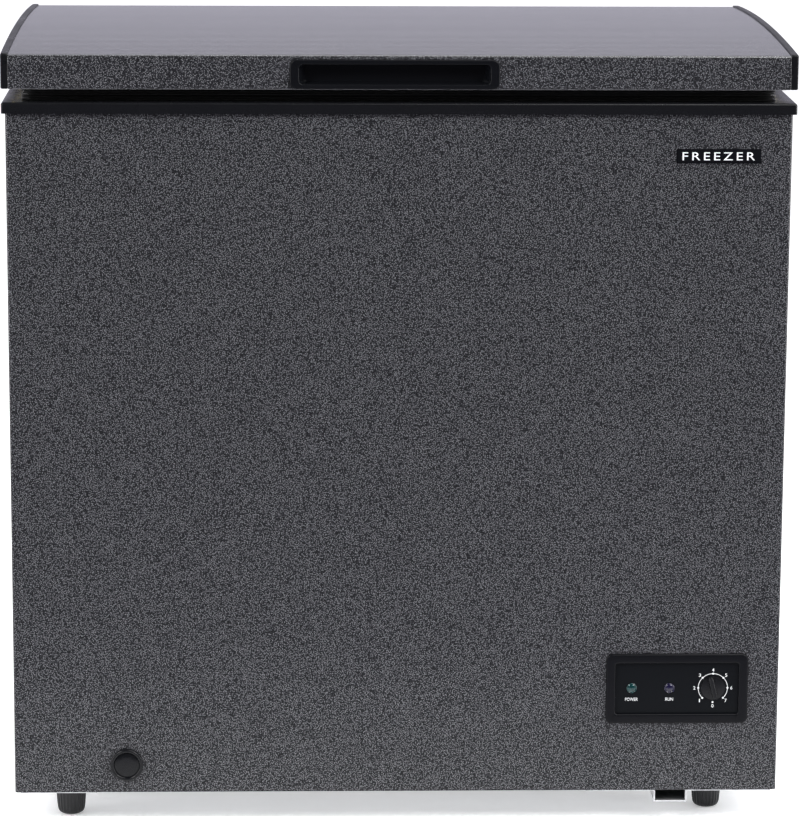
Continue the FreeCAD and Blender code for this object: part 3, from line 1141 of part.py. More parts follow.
grille_y = (f"{vent_y[0]} - 7", f"{vent_y[1]} + 7")
grille_z = (f"{vent_z[0]} - 7", f"{vent_z[1]} + 7")
grille_plate = soften(box((RIGHT, "place.side + 2.5"), grille_y, grille_z), 5,
                      lambda edge: along("x", edge))
grille_plug = box(("place.inside - 4", "place.side + 1"),
                  (f"{vent_y[0]} + size.gap", f"{vent_y[1]} - size.gap"),
                  (f"{vent_z[0]} + size.gap", f"{vent_z[1]} - size.gap"))
slots = [box(("place.inside - 9", "place.side + 9"), (f"{vent_y[0]} + 6", f"{vent_y[1]} - 6"),
             (f"{vent_z[0]} + {height}", f"{vent_z[0]} + {height + 5}"))
         for height in range(8, 108, 11)]
node("side_grille", cut(join(grille_plate, grille_plug), *slots))

# ---------------------------------------------------------------------------------------------
# Wire basket, hung across the tub on the collar
# ---------------------------------------------------------------------------------------------
thin = k["basket_wire"] / 2
thick = k["ear_wire"] / 2
nest = thin * 1.5
left, right = n["basket_left"] + thin, n["basket_right"] - thin
near, far = n["basket_front"] + thin, n["basket_back"] - thin
low, high = n["basket_low"] + thin, n["basket_top"]


def stations(start, end):
    """Even places for the wires between two limits."""
    count = round((end - start) / k["basket_mesh"])
    return [start + (end - start) * (at + 0.5) / count for at in range(count)]


def hoop(level, inset, radius, bend):
    """A closed rectangular wire round the basket."""
    x0, x1, y0, y1 = left + inset, right - inset, near + inset, far - inset
    start = (x0 + x1) / 2
    return tube([(start, y0, level), (x0, y0, level), (x0, y1, level), (x1, y1, level),
                 (x1, y0, level), (start + 0.001, y0, level)], radius, bend)


wires = [tube([(left, y, high), (left, y, low), (right, y, low), (right, y, high)], thin, 8)
         for y in stations(near + 4, far - 4)]
wires += [tube([(x, near, high), (x, near, low + nest), (x, far, low + nest), (x, far, high)],
               thin, 8) for x in stations(left + 4, right - 4)]
drop = high - low
wires += [hoop(low + drop * share, nest, thin, 10) for share in (0.3, 0.62)]
wires.append(hoop(high, 0, thick, 12))
rail_z = n["collar_top"] + k["gap"] + thick
for edge_y, rail_y in ((near, n["opening_front"] - k["ear_length"] + thick),
                       (far, n["opening_back"] + k["ear_length"] - thick)):
    wires.append(tube([(left + 12, rail_y, rail_z), (right - 12, rail_y, rail_z)], thick, 1))
    for share in (0.12, 0.5, 0.88):
        x = left + (right - left) * share
        wires.append(tube([(x, rail_y, rail_z), (x, edge_y, rail_z), (x, edge_y, high)],
                          thick - 0.3, 3))
node("wire_basket", fixed_shape(wires[0].multiFuse(wires[1:])))

# ---------------------------------------------------------------------------------------------
# Check every sub-part and write it out
# ---------------------------------------------------------------------------------------------
doc.recompute()
failed = [each.Label for each in doc.Objects if "Invalid" in each.State or "Error" in each.State]
failed += [name for name, piece in nodes.items()
           if piece.Shape.isNull() or not piece.Shape.isValid()]
if failed:
    raise RuntimeError(f"sub-parts that did not come out: {', '.join(failed)}")
os.makedirs("parts", exist_ok=True)
for name, piece in nodes.items():
    piece.Shape.exportStep(f"parts/{name}.step")
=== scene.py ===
import math

import bpy
import numpy as np
from mathutils import Matrix, Vector


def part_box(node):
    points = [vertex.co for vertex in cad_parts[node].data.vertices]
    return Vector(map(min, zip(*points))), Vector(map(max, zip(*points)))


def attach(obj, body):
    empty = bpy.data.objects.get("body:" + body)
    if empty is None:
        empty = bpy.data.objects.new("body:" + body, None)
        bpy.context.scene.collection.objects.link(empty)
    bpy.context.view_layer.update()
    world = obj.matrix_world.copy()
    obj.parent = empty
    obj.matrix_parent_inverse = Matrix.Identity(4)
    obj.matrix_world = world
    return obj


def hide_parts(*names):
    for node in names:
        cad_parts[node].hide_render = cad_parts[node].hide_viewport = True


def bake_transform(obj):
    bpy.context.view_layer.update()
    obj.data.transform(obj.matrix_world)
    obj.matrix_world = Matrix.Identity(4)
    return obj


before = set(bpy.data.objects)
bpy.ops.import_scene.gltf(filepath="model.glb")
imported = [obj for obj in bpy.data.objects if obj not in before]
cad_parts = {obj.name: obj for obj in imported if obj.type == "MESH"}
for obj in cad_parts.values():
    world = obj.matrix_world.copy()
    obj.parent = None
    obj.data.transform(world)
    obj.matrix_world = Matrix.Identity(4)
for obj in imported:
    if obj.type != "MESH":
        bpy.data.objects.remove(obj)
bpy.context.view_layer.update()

# ------------------------------------------------------------------------------------------
# The studio: a pale floor swept up far behind the freezer into a wall painted grey with a violet tint,
# the floor painted darker in front of the freezer as painted shade, and the paper made to glow of itself,
# more so further back; a soft surround, broad lamps overhead and behind, and soft lamps at the sides for
# the bright folds of the steel.
# The camera stands a little left of the middle and looks down at the lid from in front.
# ------------------------------------------------------------------------------------------
LENS = 167.4
CAMERA_PLACE = (-0.1289, -4.3, 1.3001)
CAMERA_YAW, CAMERA_PITCH, CAMERA_ROLL = (math.radians(turn) for turn in (1.854, 11.636, 0.319))
FLOOR_FRONT, FLOOR_BACK, FLOOR_HALF, SWEEP_BEND, WALL_HIGH = -14, 9, 14, 2.5, 4
PAPER_WHITE, PAPER_GLOW, FAR_GLOW = (0.90, 0.90, 0.905), 0.35, 0.90
SURROUND_BACK, SURROUND_FRONT = (0.50, 0.51, 0.55), (0.10, 0.10, 0.105)
FRONT_SHADE, WALL_SHADE, WALL_TINT = 0.30, 0.42, (0.36, 0.35, 0.405)


def surface(name, points, closed_u=False, closed_v=False, keep=None):
    """A mesh from a grid of points (rows u, columns v), one quad for each cell; keep masks cells.

    A closed way joins its last line of points to its first.
    """
    rows, columns = points.shape[:2]
    index = np.arange(rows * columns).reshape(rows, columns)
    if closed_u:
        index = np.vstack([index, index[:1]])
    if closed_v:
        index = np.hstack([index, index[:, :1]])
    quads = np.stack([index[:-1, :-1], index[1:, :-1], index[1:, 1:], index[:-1, 1:]], axis=-1)
    if keep is not None:
        quads = quads[keep]
    mesh = bpy.data.meshes.new(name)
    mesh.from_pydata(points.reshape(-1, 3).tolist(), [], quads.reshape(-1, 4).tolist())
    mesh.update()
    return mesh


def finish_of(name, colour, roughness, metallic=0.0, coat=0.0, coat_roughness=0.1):
    """A material with its plain numbers set; returns it with its node tree and its shader."""
    made = bpy.data.materials.new(name)
    made.use_nodes = True
    shader = made.node_tree.nodes["Principled BSDF"]
    shader.inputs["Base Color"].default_value = (*colour, 1)
    shader.inputs["Roughness"].default_value = roughness
    shader.inputs["Metallic"].default_value = metallic
    shader.inputs["Coat Weight"].default_value = coat
    shader.inputs["Coat Roughness"].default_value = coat_roughness
    return made, made.node_tree, shader


def add(tree, kind, **inputs):
    """A node with its input values, or links to other nodes' outputs, set by name."""
    made = tree.nodes.new(kind)
    for name, value in inputs.items():
        socket = made.inputs[name.replace("_", " ")]
        if isinstance(value, bpy.types.NodeSocket):
            tree.links.new(value, socket)
        else:
            socket.default_value = value
    return made


def own_place(tree):
    """The point's place on the object itself, in metres, so that a pattern rides with its piece."""
    return tree.nodes.new("ShaderNodeTexCoord").outputs["Object"]


def ramp(tree, fac, *stops):
    """A colour ramp through (place, colour) stops."""
    made = tree.nodes.new("ShaderNodeValToRGB")
    tree.links.new(fac, made.inputs["Fac"])
    while len(made.color_ramp.elements) < len(stops):
        made.color_ramp.elements.new(0.5)
    for element, (place, colour) in zip(made.color_ramp.elements, stops):
        element.position = place
        element.color = (*colour, 1)
    return made.outputs["Color"]


sweep_run = np.linspace(0, 1, 40)
sweep_bend = np.clip((sweep_run - 0.5) / 0.3, 0, 1) * math.pi / 2
sweep_y = np.where(sweep_run < 0.5, FLOOR_FRONT + sweep_run * 2 * (FLOOR_BACK - FLOOR_FRONT),
                   FLOOR_BACK + SWEEP_BEND * np.sin(sweep_bend))
sweep_z = np.where(sweep_run < 0.5, 0, SWEEP_BEND - SWEEP_BEND * np.cos(sweep_bend)) \
    + np.clip(sweep_run - 0.8, 0, 1) / 0.2 * WALL_HIGH
sheet_x = np.linspace(-FLOOR_HALF, FLOOR_HALF, 3)
sheet_points = np.stack(np.broadcast_arrays(sheet_x[:, None], sweep_y[None], sweep_z[None] - 0.0004),
                        axis=-1)
paper, tree, shader = finish_of("studio_paper", PAPER_WHITE, 0.9)
place = add(tree, "ShaderNodeSeparateXYZ", Vector=own_place(tree))
# Painted shade: the floor darkens in front of the freezer and the wall turns grey, so less light bounces
# and reflects onto the freezer.
near = add(tree, "ShaderNodeMapRange", Value=place.outputs["Y"], From_Min=-1.1, From_Max=-0.3,
           To_Min=FRONT_SHADE, To_Max=1.0)
high = add(tree, "ShaderNodeMapRange", Value=place.outputs["Z"], From_Min=0.05, From_Max=0.30,
           To_Min=1.0, To_Max=WALL_SHADE)
tone = tree.nodes.new("ShaderNodeMath")
tone.operation = "MULTIPLY"
tree.links.new(near.outputs["Result"], tone.inputs[0])
tree.links.new(high.outputs["Result"], tone.inputs[1])
painted_paper_shade = ramp(tree, tone.outputs[0], (0.0, (0.0, 0.0, 0.0)), (WALL_SHADE, WALL_TINT),
                  (1.0, PAPER_WHITE))
tree.links.new(painted_paper_shade, shader.inputs["Base Color"])
tree.links.new(painted_paper_shade, shader.inputs["Emission Color"])
# Painted glow: the paper emits light of its own, more of it further back.
far = add(tree, "ShaderNodeMapRange", Value=place.outputs["Y"], From_Min=0.6, From_Max=4.0,
          To_Min=PAPER_GLOW, To_Max=FAR_GLOW)
tree.links.new(far.outputs["Result"], shader.inputs["Emission Strength"])
backdrop = bpy.data.objects.new("backdrop", surface("backdrop", sheet_points))
bpy.context.collection.objects.link(backdrop)
backdrop.data.materials.append(paper)
backdrop.data.polygons.foreach_set("use_smooth", np.ones(len(backdrop.data.polygons), bool))

world = bpy.data.worlds.new("surround")
world.use_nodes = True
sky = world.node_tree.nodes
way = sky.new("ShaderNodeSeparateXYZ")
world.node_tree.links.new(sky.new("ShaderNodeTexCoord").outputs["Generated"], way.inputs[0])
fade = sky.new("ShaderNodeMapRange")
fade.interpolation_type = "SMOOTHSTEP"
fade.inputs["From Min"].default_value, fade.inputs["From Max"].default_value = -0.55, 0.15
world.node_tree.links.new(way.outputs["Y"], fade.inputs["Value"])
shade = sky.new("ShaderNodeMix")
shade.data_type = "RGBA"
world.node_tree.links.new(fade.outputs["Result"], shade.inputs["Factor"])
shade.inputs[6].default_value, shade.inputs[7].default_value = (*SURROUND_FRONT, 1), (*SURROUND_BACK, 1)
world.node_tree.links.new(shade.outputs[2], sky["Background"].inputs["Color"])
bpy.context.scene.world = world
bpy.context.scene.view_settings.view_transform = "Standard"


def lamp(name, place, aim, size, power, spread):
    """A rectangular lamp at a place, pointed at another; spread is its beam's width in degrees."""
    light = bpy.data.lights.new(name, "AREA")
    light.shape = "RECTANGLE"
    light.size, light.size_y = size
    light.energy = power
    light.spread = math.radians(spread)
    made = bpy.data.objects.new(name, light)
    made.location = place
    made.rotation_mode = "QUATERNION"
    made.rotation_quaternion = (Vector(aim) - Vector(place)).to_track_quat("-Z", "Y")
    bpy.context.collection.objects.link(made)


STUDIO_LAMPS = (
    ("overhead", (0.2, 0.3, 3.4), (0, 0.1, 0.4), (2.6, 2.0), 5, 110),
    ("fold_top", (1.2, -0.9, 3.2), (0.5, -0.3, 0.8), (2.4, 1.2), 60, 180),
    ("fold_left", (-3.0, -0.9, 0.8), (0, -0.3, 0.5), (0.8, 2.2), 60, 180),
    ("fold_right", (3.0, -0.9, 0.8), (0, -0.3, 0.5), (0.8, 2.2), 60, 180),
    ("front_left", (-3.0, -3.0, 3.4), (0, -0.3, 0.5), (1.2, 1.8), 14, 50),
    ("front_right", (3.0, -3.0, 3.4), (0, -0.3, 0.5), (1.2, 1.8), 13, 50),
    ("side_left", (-3.0, 0.3, 0.9), (0, 0, 0.4), (0.5, 2.2), 16, 180),
    ("side_right", (3.0, 0.3, 0.9), (0, 0, 0.4), (0.5, 2.2), 16, 180),
    ("behind", (0.4, 2.5, 3.6), (0, 0, 0.4), (2.0, 1.4), 26, 180))
for details in STUDIO_LAMPS:
    lamp(*details)

camera = bpy.data.objects.new("camera", bpy.data.cameras.new("camera"))
camera.data.lens = LENS
camera.data.clip_end = 60
camera_ahead = Vector((math.sin(CAMERA_YAW) * math.cos(CAMERA_PITCH),
                       math.cos(CAMERA_YAW) * math.cos(CAMERA_PITCH), -math.sin(CAMERA_PITCH)))
camera_level = Vector((math.cos(CAMERA_YAW), -math.sin(CAMERA_YAW), 0))
camera_over = camera_level.cross(camera_ahead)
camera_right = camera_level * math.cos(CAMERA_ROLL) + camera_over * math.sin(CAMERA_ROLL)
camera_up = camera_over * math.cos(CAMERA_ROLL) - camera_level * math.sin(CAMERA_ROLL)
camera.matrix_world = Matrix.Translation(CAMERA_PLACE) \
    @ Matrix((camera_right, camera_up, -camera_ahead)).transposed().to_4x4()
bpy.context.collection.objects.link(camera)
bpy.context.scene.camera = camera

# ------------------------------------------------------------------------------------------
# Steel wrap: one thin sheet bent round the front and both sides, coated with dark grey hammer
# finish paint, whose skin draws into small pale drops between dark pits as it dries. The drops'
# pale colour is partly the paint's own and partly painted glints off its raised grain.
# ------------------------------------------------------------------------------------------
HAMMER_CELL, HAMMER_STIR = 720.0, 0.0006
HAMMER_DARK, HAMMER_MID = (0.006, 0.006, 0.0072), (0.036, 0.0362, 0.041)
HAMMER_PALE_AND_GLINT = (0.225, 0.227, 0.240)


def bump(tree, shader, height, strength, distance):
    """Relief from a height, on the shader's normal."""
    made = add(tree, "ShaderNodeBump", Height=height, Strength=strength, Distance=distance)
    tree.links.new(made.outputs["Normal"], shader.inputs["Normal"])


def hammered(name, gloss):
    """Hammer finish paint; gloss is the weight of its clear top coat."""
    made, tree, shader = finish_of(name, HAMMER_MID, 0.45, coat=gloss, coat_roughness=0.13)
    shader.inputs["Specular IOR Level"].default_value = 0.1
    place = own_place(tree)
    warp = add(tree, "ShaderNodeTexNoise", Vector=place, Scale=HAMMER_CELL * 0.6, Detail=1.0)
    pushed = tree.nodes.new("ShaderNodeVectorMath")
    pushed.operation = "MULTIPLY_ADD"
    tree.links.new(warp.outputs["Color"], pushed.inputs[0])
    pushed.inputs[1].default_value = (HAMMER_STIR,) * 3
    tree.links.new(place, pushed.inputs[2])
    drops = add(tree, "ShaderNodeTexVoronoi", Vector=pushed.outputs[0], Scale=HAMMER_CELL,
                Randomness=0.8)
    # The pale drops are partly the paint's own mottle and partly painted glints off its raised grain.
    colour = ramp(tree, drops.outputs["Distance"],
                  (0.14, HAMMER_PALE_AND_GLINT), (0.38, HAMMER_MID), (0.60, HAMMER_DARK))
    tree.links.new(colour, shader.inputs["Base Color"])
    bump(tree, shader, drops.outputs["Distance"], 0.10, 0.0004)
    return made


def dress(finish, *names):
    """Give CAD nodes a finish."""
    for name in names:
        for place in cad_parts[name].material_slots:
            place.link = "OBJECT"
            place.material = finish


dress(hammered("cabinet_paint", 0.25), "outer_shell")

# ------------------------------------------------------------------------------------------
# Back panel, rear cover and the sheets underneath: thin grey painted sheet on the back, and
# galvanised sheet with its faint spangle for the pan, the bay wall and the base plates.
# ------------------------------------------------------------------------------------------
back_paint, tree, shader = finish_of("back_paint", (0.115, 0.117, 0.122), 0.5)
place = own_place(tree)
orange_peel = add(tree, "ShaderNodeTexNoise", Vector=place, Scale=700.0, Detail=2.0)
bump(tree, shader, orange_peel.outputs["Fac"], 0.10, 0.0003)
tree.links.new(ramp(tree, add(tree, "ShaderNodeTexNoise", Vector=place, Scale=9.0).outputs["Fac"],
                    (0.3, (0.105, 0.107, 0.112)), (0.7, (0.128, 0.130, 0.135))),
               shader.inputs["Base Color"])
dress(back_paint, "back_panel", "rear_cover")

galvanised, tree, shader = finish_of("galvanised", (0.56, 0.57, 0.58), 0.36, metallic=0.9)
place = own_place(tree)
spangle = add(tree, "ShaderNodeTexVoronoi", Vector=place, Scale=120.0)
tree.links.new(ramp(tree, spangle.outputs["Color"], (0.1, (0.42, 0.43, 0.44)),
                    (0.9, (0.66, 0.67, 0.68))), shader.inputs["Base Color"])
tree.links.new(ramp(tree, spangle.outputs["Color"], (0.0, (0.28,) * 3), (1.0, (0.46,) * 3)),
               shader.inputs["Roughness"])
dress(galvanised, "base_pan", "bay_wall", "base_plates")

zinc, tree, shader = finish_of("zinc_plate", (0.62, 0.62, 0.60), 0.30, metallic=1.0)
place = own_place(tree)
cloud = add(tree, "ShaderNodeTexNoise", Vector=place, Scale=160.0, Detail=3.0)
tree.links.new(ramp(tree, cloud.outputs["Fac"], (0.3, (0.50, 0.50, 0.47)),
                    (0.7, (0.68, 0.68, 0.66))), shader.inputs["Base Color"])
dress(zinc, "foot_inserts", "rear_screws", "leaf_screws", "hinge_pins", "hinge_leaves",
      "hinge_housing_left", "hinge_housing_right", "compressor_bolts")

# ------------------------------------------------------------------------------------------
# Foam, tub and pipes: straw coloured polyurethane foamed in place between the steel and the
# tub, a white painted tub with a fine stucco grain, and copper pipes.
# ------------------------------------------------------------------------------------------
foam, tree, shader = finish_of("foam", (0.62, 0.52, 0.27), 0.85)
place = own_place(tree)
cells = add(tree, "ShaderNodeTexVoronoi", Vector=place, Scale=900.0)
bump(tree, shader, cells.outputs["Distance"], 0.5, 0.0006)
tree.links.new(ramp(tree, add(tree, "ShaderNodeTexNoise", Vector=place, Scale=40.0).outputs["Fac"],
                    (0.3, (0.52, 0.42, 0.20)), (0.7, (0.70, 0.60, 0.33))),
               shader.inputs["Base Color"])
dress(foam, "cabinet_foam", "lid_foam")

tub_white, tree, shader = finish_of("tub_white", (0.80, 0.82, 0.83), 0.32)
place = own_place(tree)
stucco = add(tree, "ShaderNodeTexVoronoi", Vector=place, Scale=330.0)
stucco.feature = "SMOOTH_F1"
bump(tree, shader, stucco.outputs["Distance"], 0.35, 0.0006)
tree.links.new(ramp(tree, add(tree, "ShaderNodeTexNoise", Vector=place, Scale=6.0).outputs["Fac"],
                    (0.3, (0.77, 0.79, 0.80)), (0.7, (0.83, 0.845, 0.85))),
               shader.inputs["Base Color"])
dress(tub_white, "liner")

copper, tree, shader = finish_of("copper", (0.72, 0.36, 0.22), 0.32, metallic=1.0)
place = own_place(tree)
tarnish = add(tree, "ShaderNodeTexNoise", Vector=place, Scale=70.0, Detail=4.0)
tree.links.new(ramp(tree, tarnish.outputs["Fac"], (0.35, (0.42, 0.20, 0.12)),
                    (0.65, (0.76, 0.40, 0.26))), shader.inputs["Base Color"])
dress(copper, "evaporator_coil", "condenser_coil", "discharge_line", "suction_line",
      "drier_tubes", "filter_drier")

# ------------------------------------------------------------------------------------------
# Collar: black plastic channel in four lengths with mitred corners, pushed down over the top
# edge of the steel and of the tub. It has a fine satin grain from its mould.
# ------------------------------------------------------------------------------------------


def black_plastic(name, colour, roughness, grain, coat=0.0, gloss=0.3):
    """Black moulded plastic with a fine grain; grain is the relief's strength."""
    made, tree, shader = finish_of(name, colour, roughness, coat=coat, coat_roughness=0.06)
    shader.inputs["Specular IOR Level"].default_value = gloss
    place = own_place(tree)
    fine = add(tree, "ShaderNodeTexNoise", Vector=place, Scale=1500.0, Detail=2.0)
    bump(tree, shader, fine.outputs["Fac"], grain, 0.0002)
    cloud = add(tree, "ShaderNodeTexNoise", Vector=place, Scale=25.0, Detail=3.0)
    tree.links.new(ramp(tree, cloud.outputs["Fac"], (0.3, (roughness * 0.85,) * 3),
                        (0.7, (min(roughness * 1.15, 1),) * 3)), shader.inputs["Roughness"])
    tree.links.new(ramp(tree, fine.outputs["Fac"], (0.3, tuple(c * 0.8 for c in colour)),
                        (0.7, tuple(c * 1.25 for c in colour))), shader.inputs["Base Color"])
    return made


satin_black = black_plastic("satin_black", (0.0045, 0.0047, 0.0058), 0.26, 0.10, gloss=0.18)
dress(satin_black, "collar_front", "collar_rear", "collar_left", "collar_right",
      "terminal_cover", "start_relay", "cord_gland", "side_grille", "hinge_plunger_left",
      "hinge_plunger_right")

# ------------------------------------------------------------------------------------------
# Lid skin: one steel sheet in the same hammer finish, folded down at the front and back and
# hemmed in below, its top crowned from front to back. The front has the handle's cut-out.
# ------------------------------------------------------------------------------------------
SHEET = 0.0008
CROWN = 0.0075
TOP_FOLD = 0.003
HEM_FOLD = 0.0012
HEM = 0.016


def piece(name, mesh, finish, body, slot, *stands_for, smooth=40):
    """An object at the origin with one finish, standing for CAD nodes; it rides on a body if any."""
    made = bpy.data.objects.new(name, mesh)
    bpy.context.collection.objects.link(made)
    mesh.materials.append(finish)
    if smooth:
        mesh.polygons.foreach_set("use_smooth", np.ones(len(mesh.polygons), bool))
        mesh.set_sharp_from_angle(angle=math.radians(smooth))
    if body:
        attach(made, body)
    if stands_for:
        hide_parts(*stands_for)
    return made


def turn(centre, radius, start, end, count=7):
    """Points on an arc of (y, z) from one angle to another in degrees, centre plus radius."""
    angle = np.radians(np.linspace(start, end, count))
    return np.stack([centre[0] + radius * np.cos(angle), centre[1] + radius * np.sin(angle)], 1)


def lid_outline(low, hem, cut_heights=()):
    """The lid's side view as (y, z), from the front hem over the crown to the back hem.

    The crown is a parabola: its rise falls with the square of the distance from the middle.
    """
    (_, front, _), (_, back, top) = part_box("lid_skin")
    middle, half = (front + back) / 2, (back - front) / 2
    edge = top - CROWN
    slope = math.degrees(math.atan(2 * CROWN / half))
    start = front + TOP_FOLD * (1 - math.sin(math.radians(slope)))
    fold_z = top - CROWN * ((start - middle) / half) ** 2 \
        - TOP_FOLD * math.cos(math.radians(slope))
    across = np.linspace(start, 2 * middle - start, 61)[1:-1]
    crown = np.stack([across, top - CROWN * ((across - middle) / half) ** 2], 1)
    rise = np.array([[front, height] for height in cut_heights]).reshape(-1, 2)
    near = np.vstack([[[front + hem, low]], turn((front + HEM_FOLD, low + HEM_FOLD), HEM_FOLD,
                                                 270, 180), rise,
                      turn((front + TOP_FOLD, fold_z), TOP_FOLD, 180, 90 + slope)])
    far = np.stack([2 * middle - near[::-1, 0], near[::-1, 1]], 1)
    return np.vstack([near, crown, far])


handle_low, handle_high = (np.array(corner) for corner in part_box("handle_cup"))
FRAME_SIDE, FRAME_EDGE, CUP_WALL = 0.010, 0.0052, 0.002
hole_x = (handle_low[0] + FRAME_SIDE - CUP_WALL, handle_high[0] - FRAME_SIDE + CUP_WALL)
hole_z = (handle_low[2] + FRAME_EDGE - CUP_WALL, handle_high[2] - FRAME_EDGE + CUP_WALL)
skin_low, skin_high = (np.array(corner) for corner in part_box("lid_skin"))
skin_outline = lid_outline(skin_low[2], HEM, hole_z)
skin_x = np.unique(np.concatenate([np.linspace(skin_low[0], skin_high[0], 25), hole_x,
                                   (skin_low[0] + SHEET / 2, skin_high[0] - SHEET / 2)]))
skin_points = np.empty((len(skin_x), len(skin_outline), 3))
skin_points[..., 0] = skin_x[:, None]
skin_points[..., 1:] = skin_outline[None]
cell_x = (skin_x[:-1] + skin_x[1:]) / 2
cell_y, cell_z = ((skin_outline[:-1] + skin_outline[1:]) / 2).T
in_hole = ((cell_x > hole_x[0]) & (cell_x < hole_x[1]))[:, None] \
    & ((cell_y < skin_low[1] + 1e-4) & (cell_z > hole_z[0]) & (cell_z < hole_z[1]))[None]
lid_skin = piece("lid_steel", surface("lid_steel", skin_points, keep=~in_hole),
                 hammered("lid_paint", 1.0), "lid", "cabinet_paint", "lid_skin")
thickness = lid_skin.modifiers.new("gauge", "SOLIDIFY")
thickness.thickness = SHEET
thickness.offset = -1

# ------------------------------------------------------------------------------------------
# End caps: a black plastic trim over each end of the lid, standing a little above the skin,
# with rounded edges, pressed on and held by the foam.
# ------------------------------------------------------------------------------------------


def inward(outline):
    """Unit vectors at right angles to a closed outline of (y, z), pointing to its inside."""
    along = np.roll(outline, -1, 0) - np.roll(outline, 1, 0)
    normal = np.stack([-along[:, 1], along[:, 0]], 1)
    normal /= np.linalg.norm(normal, axis=1, keepdims=True)
    area = np.sum(outline[:, 0] * np.roll(outline[:, 1], -1)
                  - np.roll(outline[:, 0], -1) * outline[:, 1])
    return normal if area > 0 else -normal


def loft(name, loops):
    """A closed solid through loops of points (loop, point, 3), each end filled with one face."""
    loops = np.asarray(loops)
    count, around = loops.shape[:2]
    mesh = surface(name, loops, closed_v=True)
    quads = [tuple(face.vertices) for face in mesh.polygons]
    ends = [tuple(range(around))[::-1], tuple(range((count - 1) * around, count * around))]
    made = bpy.data.meshes.new(name)
    made.from_pydata(loops.reshape(-1, 3).tolist(), [], quads + ends)
    outward(made)
    bpy.data.meshes.remove(mesh)
    return made


def outward(mesh):
    """Turn a closed mesh's faces outwards, by the sign of its volume."""
    mesh.calc_loop_triangles()
    corners = np.empty(len(mesh.loop_triangles) * 3, int)
    mesh.loop_triangles.foreach_get("vertices", corners)
    places = np.empty(len(mesh.vertices) * 3)
    mesh.vertices.foreach_get("co", places)
    a, b, c = places.reshape(-1, 3)[corners.reshape(-1, 3)].transpose(1, 0, 2)
    if np.sum(a * np.cross(b, c)) < 0:
        mesh.flip_normals()
    mesh.update()


CAP_RISE, CAP_ROUND, CAP_HEM = 0.0016, 0.0022, 0.03
cap_outline = lid_outline(skin_low[2], CAP_HEM)
cap_outline = cap_outline[1:-1] + np.where(
    (cap_outline[1:-1, 1] > skin_high[2] - CROWN - TOP_FOLD)[:, None], (0, CAP_RISE), (0, 0))
cap_in = inward(cap_outline)
for side, name in ((-1, "end_cap_left"), (1, "end_cap_right")):
    low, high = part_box(name)
    inner, outer = sorted((low[0], high[0]), key=abs)
    rounding = np.radians(np.linspace(0, 90, 6))
    across = [(inner, 0.0007), (inner + side * 0.0004, 0.0002), (inner + side * 0.0009, 0)]
    across += [(outer - side * CAP_ROUND * (1 - math.sin(a)), CAP_ROUND * (1 - math.cos(a)))
               for a in rounding]
    loops = [np.column_stack([np.full(len(cap_outline), x), cap_outline + cap_in * inset])
             for x, inset in across]
    piece(f"lid_{name}", loft(f"lid_{name}", loops),
          black_plastic(f"{name}_plastic", (0.0048, 0.0050, 0.0060), 0.30, 0.10, gloss=0.12),
          "lid", "black_plastic", name)

# ------------------------------------------------------------------------------------------
# Lid lining: a white plastic panel with a raised pan, formed from one sheet and held between
# the hems and the gasket.
# ------------------------------------------------------------------------------------------
white_plastic, tree, shader = finish_of("white_plastic", (0.78, 0.79, 0.79), 0.38)
place = own_place(tree)
tree.links.new(ramp(tree, add(tree, "ShaderNodeTexNoise", Vector=place, Scale=14.0).outputs["Fac"],
                    (0.3, (0.75, 0.76, 0.755)), (0.7, (0.81, 0.815, 0.81))),
               shader.inputs["Base Color"])
bump(tree, shader, add(tree, "ShaderNodeTexNoise", Vector=place, Scale=1100.0).outputs["Fac"],
     0.08, 0.0002)
dress(white_plastic, "lid_liner", "drain_tube", "thermostat_body", "thermostat_spindle")

# ------------------------------------------------------------------------------------------
# Gasket: a black soft vinyl tube with a ribbed bellows side and a magnet in its lower lip,
# welded at its corners into one frame and pushed into the lid's lining.
# ------------------------------------------------------------------------------------------


def rounded_frame(low, high, radius, count=9):
    """A rounded rectangle's points and outward directions, (x, y) pairs, anticlockwise."""
    points, ways = [], []
    for corner, (sx, sy) in enumerate(((1, 1), (-1, 1), (-1, -1), (1, -1))):
        centre = (high[0] - radius if sx > 0 else low[0] + radius,
                  high[1] - radius if sy > 0 else low[1] + radius)
        angle = np.radians(np.linspace(90 * corner, 90 * corner + 90, count))
        way = np.stack([np.cos(angle), np.sin(angle)], 1)
        ways.append(way)
        points.append(np.array(centre) + radius * way)
    return np.vstack(points), np.vstack(ways)


gasket_low, gasket_high = (np.array(corner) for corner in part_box("lid_gasket"))
GASKET_WIDE, GASKET_CORNER, BELLOWS, BELLOWS_DEPTH = 0.018, 0.014, 4, 0.0013
GROOVE_AT, GROOVE_DEPTH, LIP = 0.42, 0.0022, 0.0006
run, out = rounded_frame(gasket_low[:2], gasket_high[:2], GASKET_CORNER)
tall = gasket_high[2] - gasket_low[2]
heights = np.linspace(0, 1, 33)
bellows = BELLOWS_DEPTH * (np.cos(heights * 2 * math.pi * BELLOWS) - 1) \
    - GROOVE_DEPTH * np.exp(-((heights - GROOVE_AT) / 0.07) ** 2)
outer_side = np.stack([bellows - LIP * (heights > 0.97) - LIP * (heights < 0.03),
                       gasket_low[2] + heights * tall], 1)
inner_side = np.stack([-GASKET_WIDE - bellows[::-1] * 0.6, outer_side[::-1, 1]], 1)
gasket_profile = np.vstack([outer_side, inner_side])
gasket_points = np.empty((len(run), len(gasket_profile), 3))
gasket_points[..., :2] = run[:, None] + out[:, None] * gasket_profile[None, :, :1]
gasket_points[..., 2] = gasket_profile[None, :, 1]
vinyl, tree, shader = finish_of("gasket_vinyl", (0.018, 0.018, 0.021), 0.40)
place = own_place(tree)
dust = add(tree, "ShaderNodeTexNoise", Vector=place, Scale=220.0, Detail=4.0)
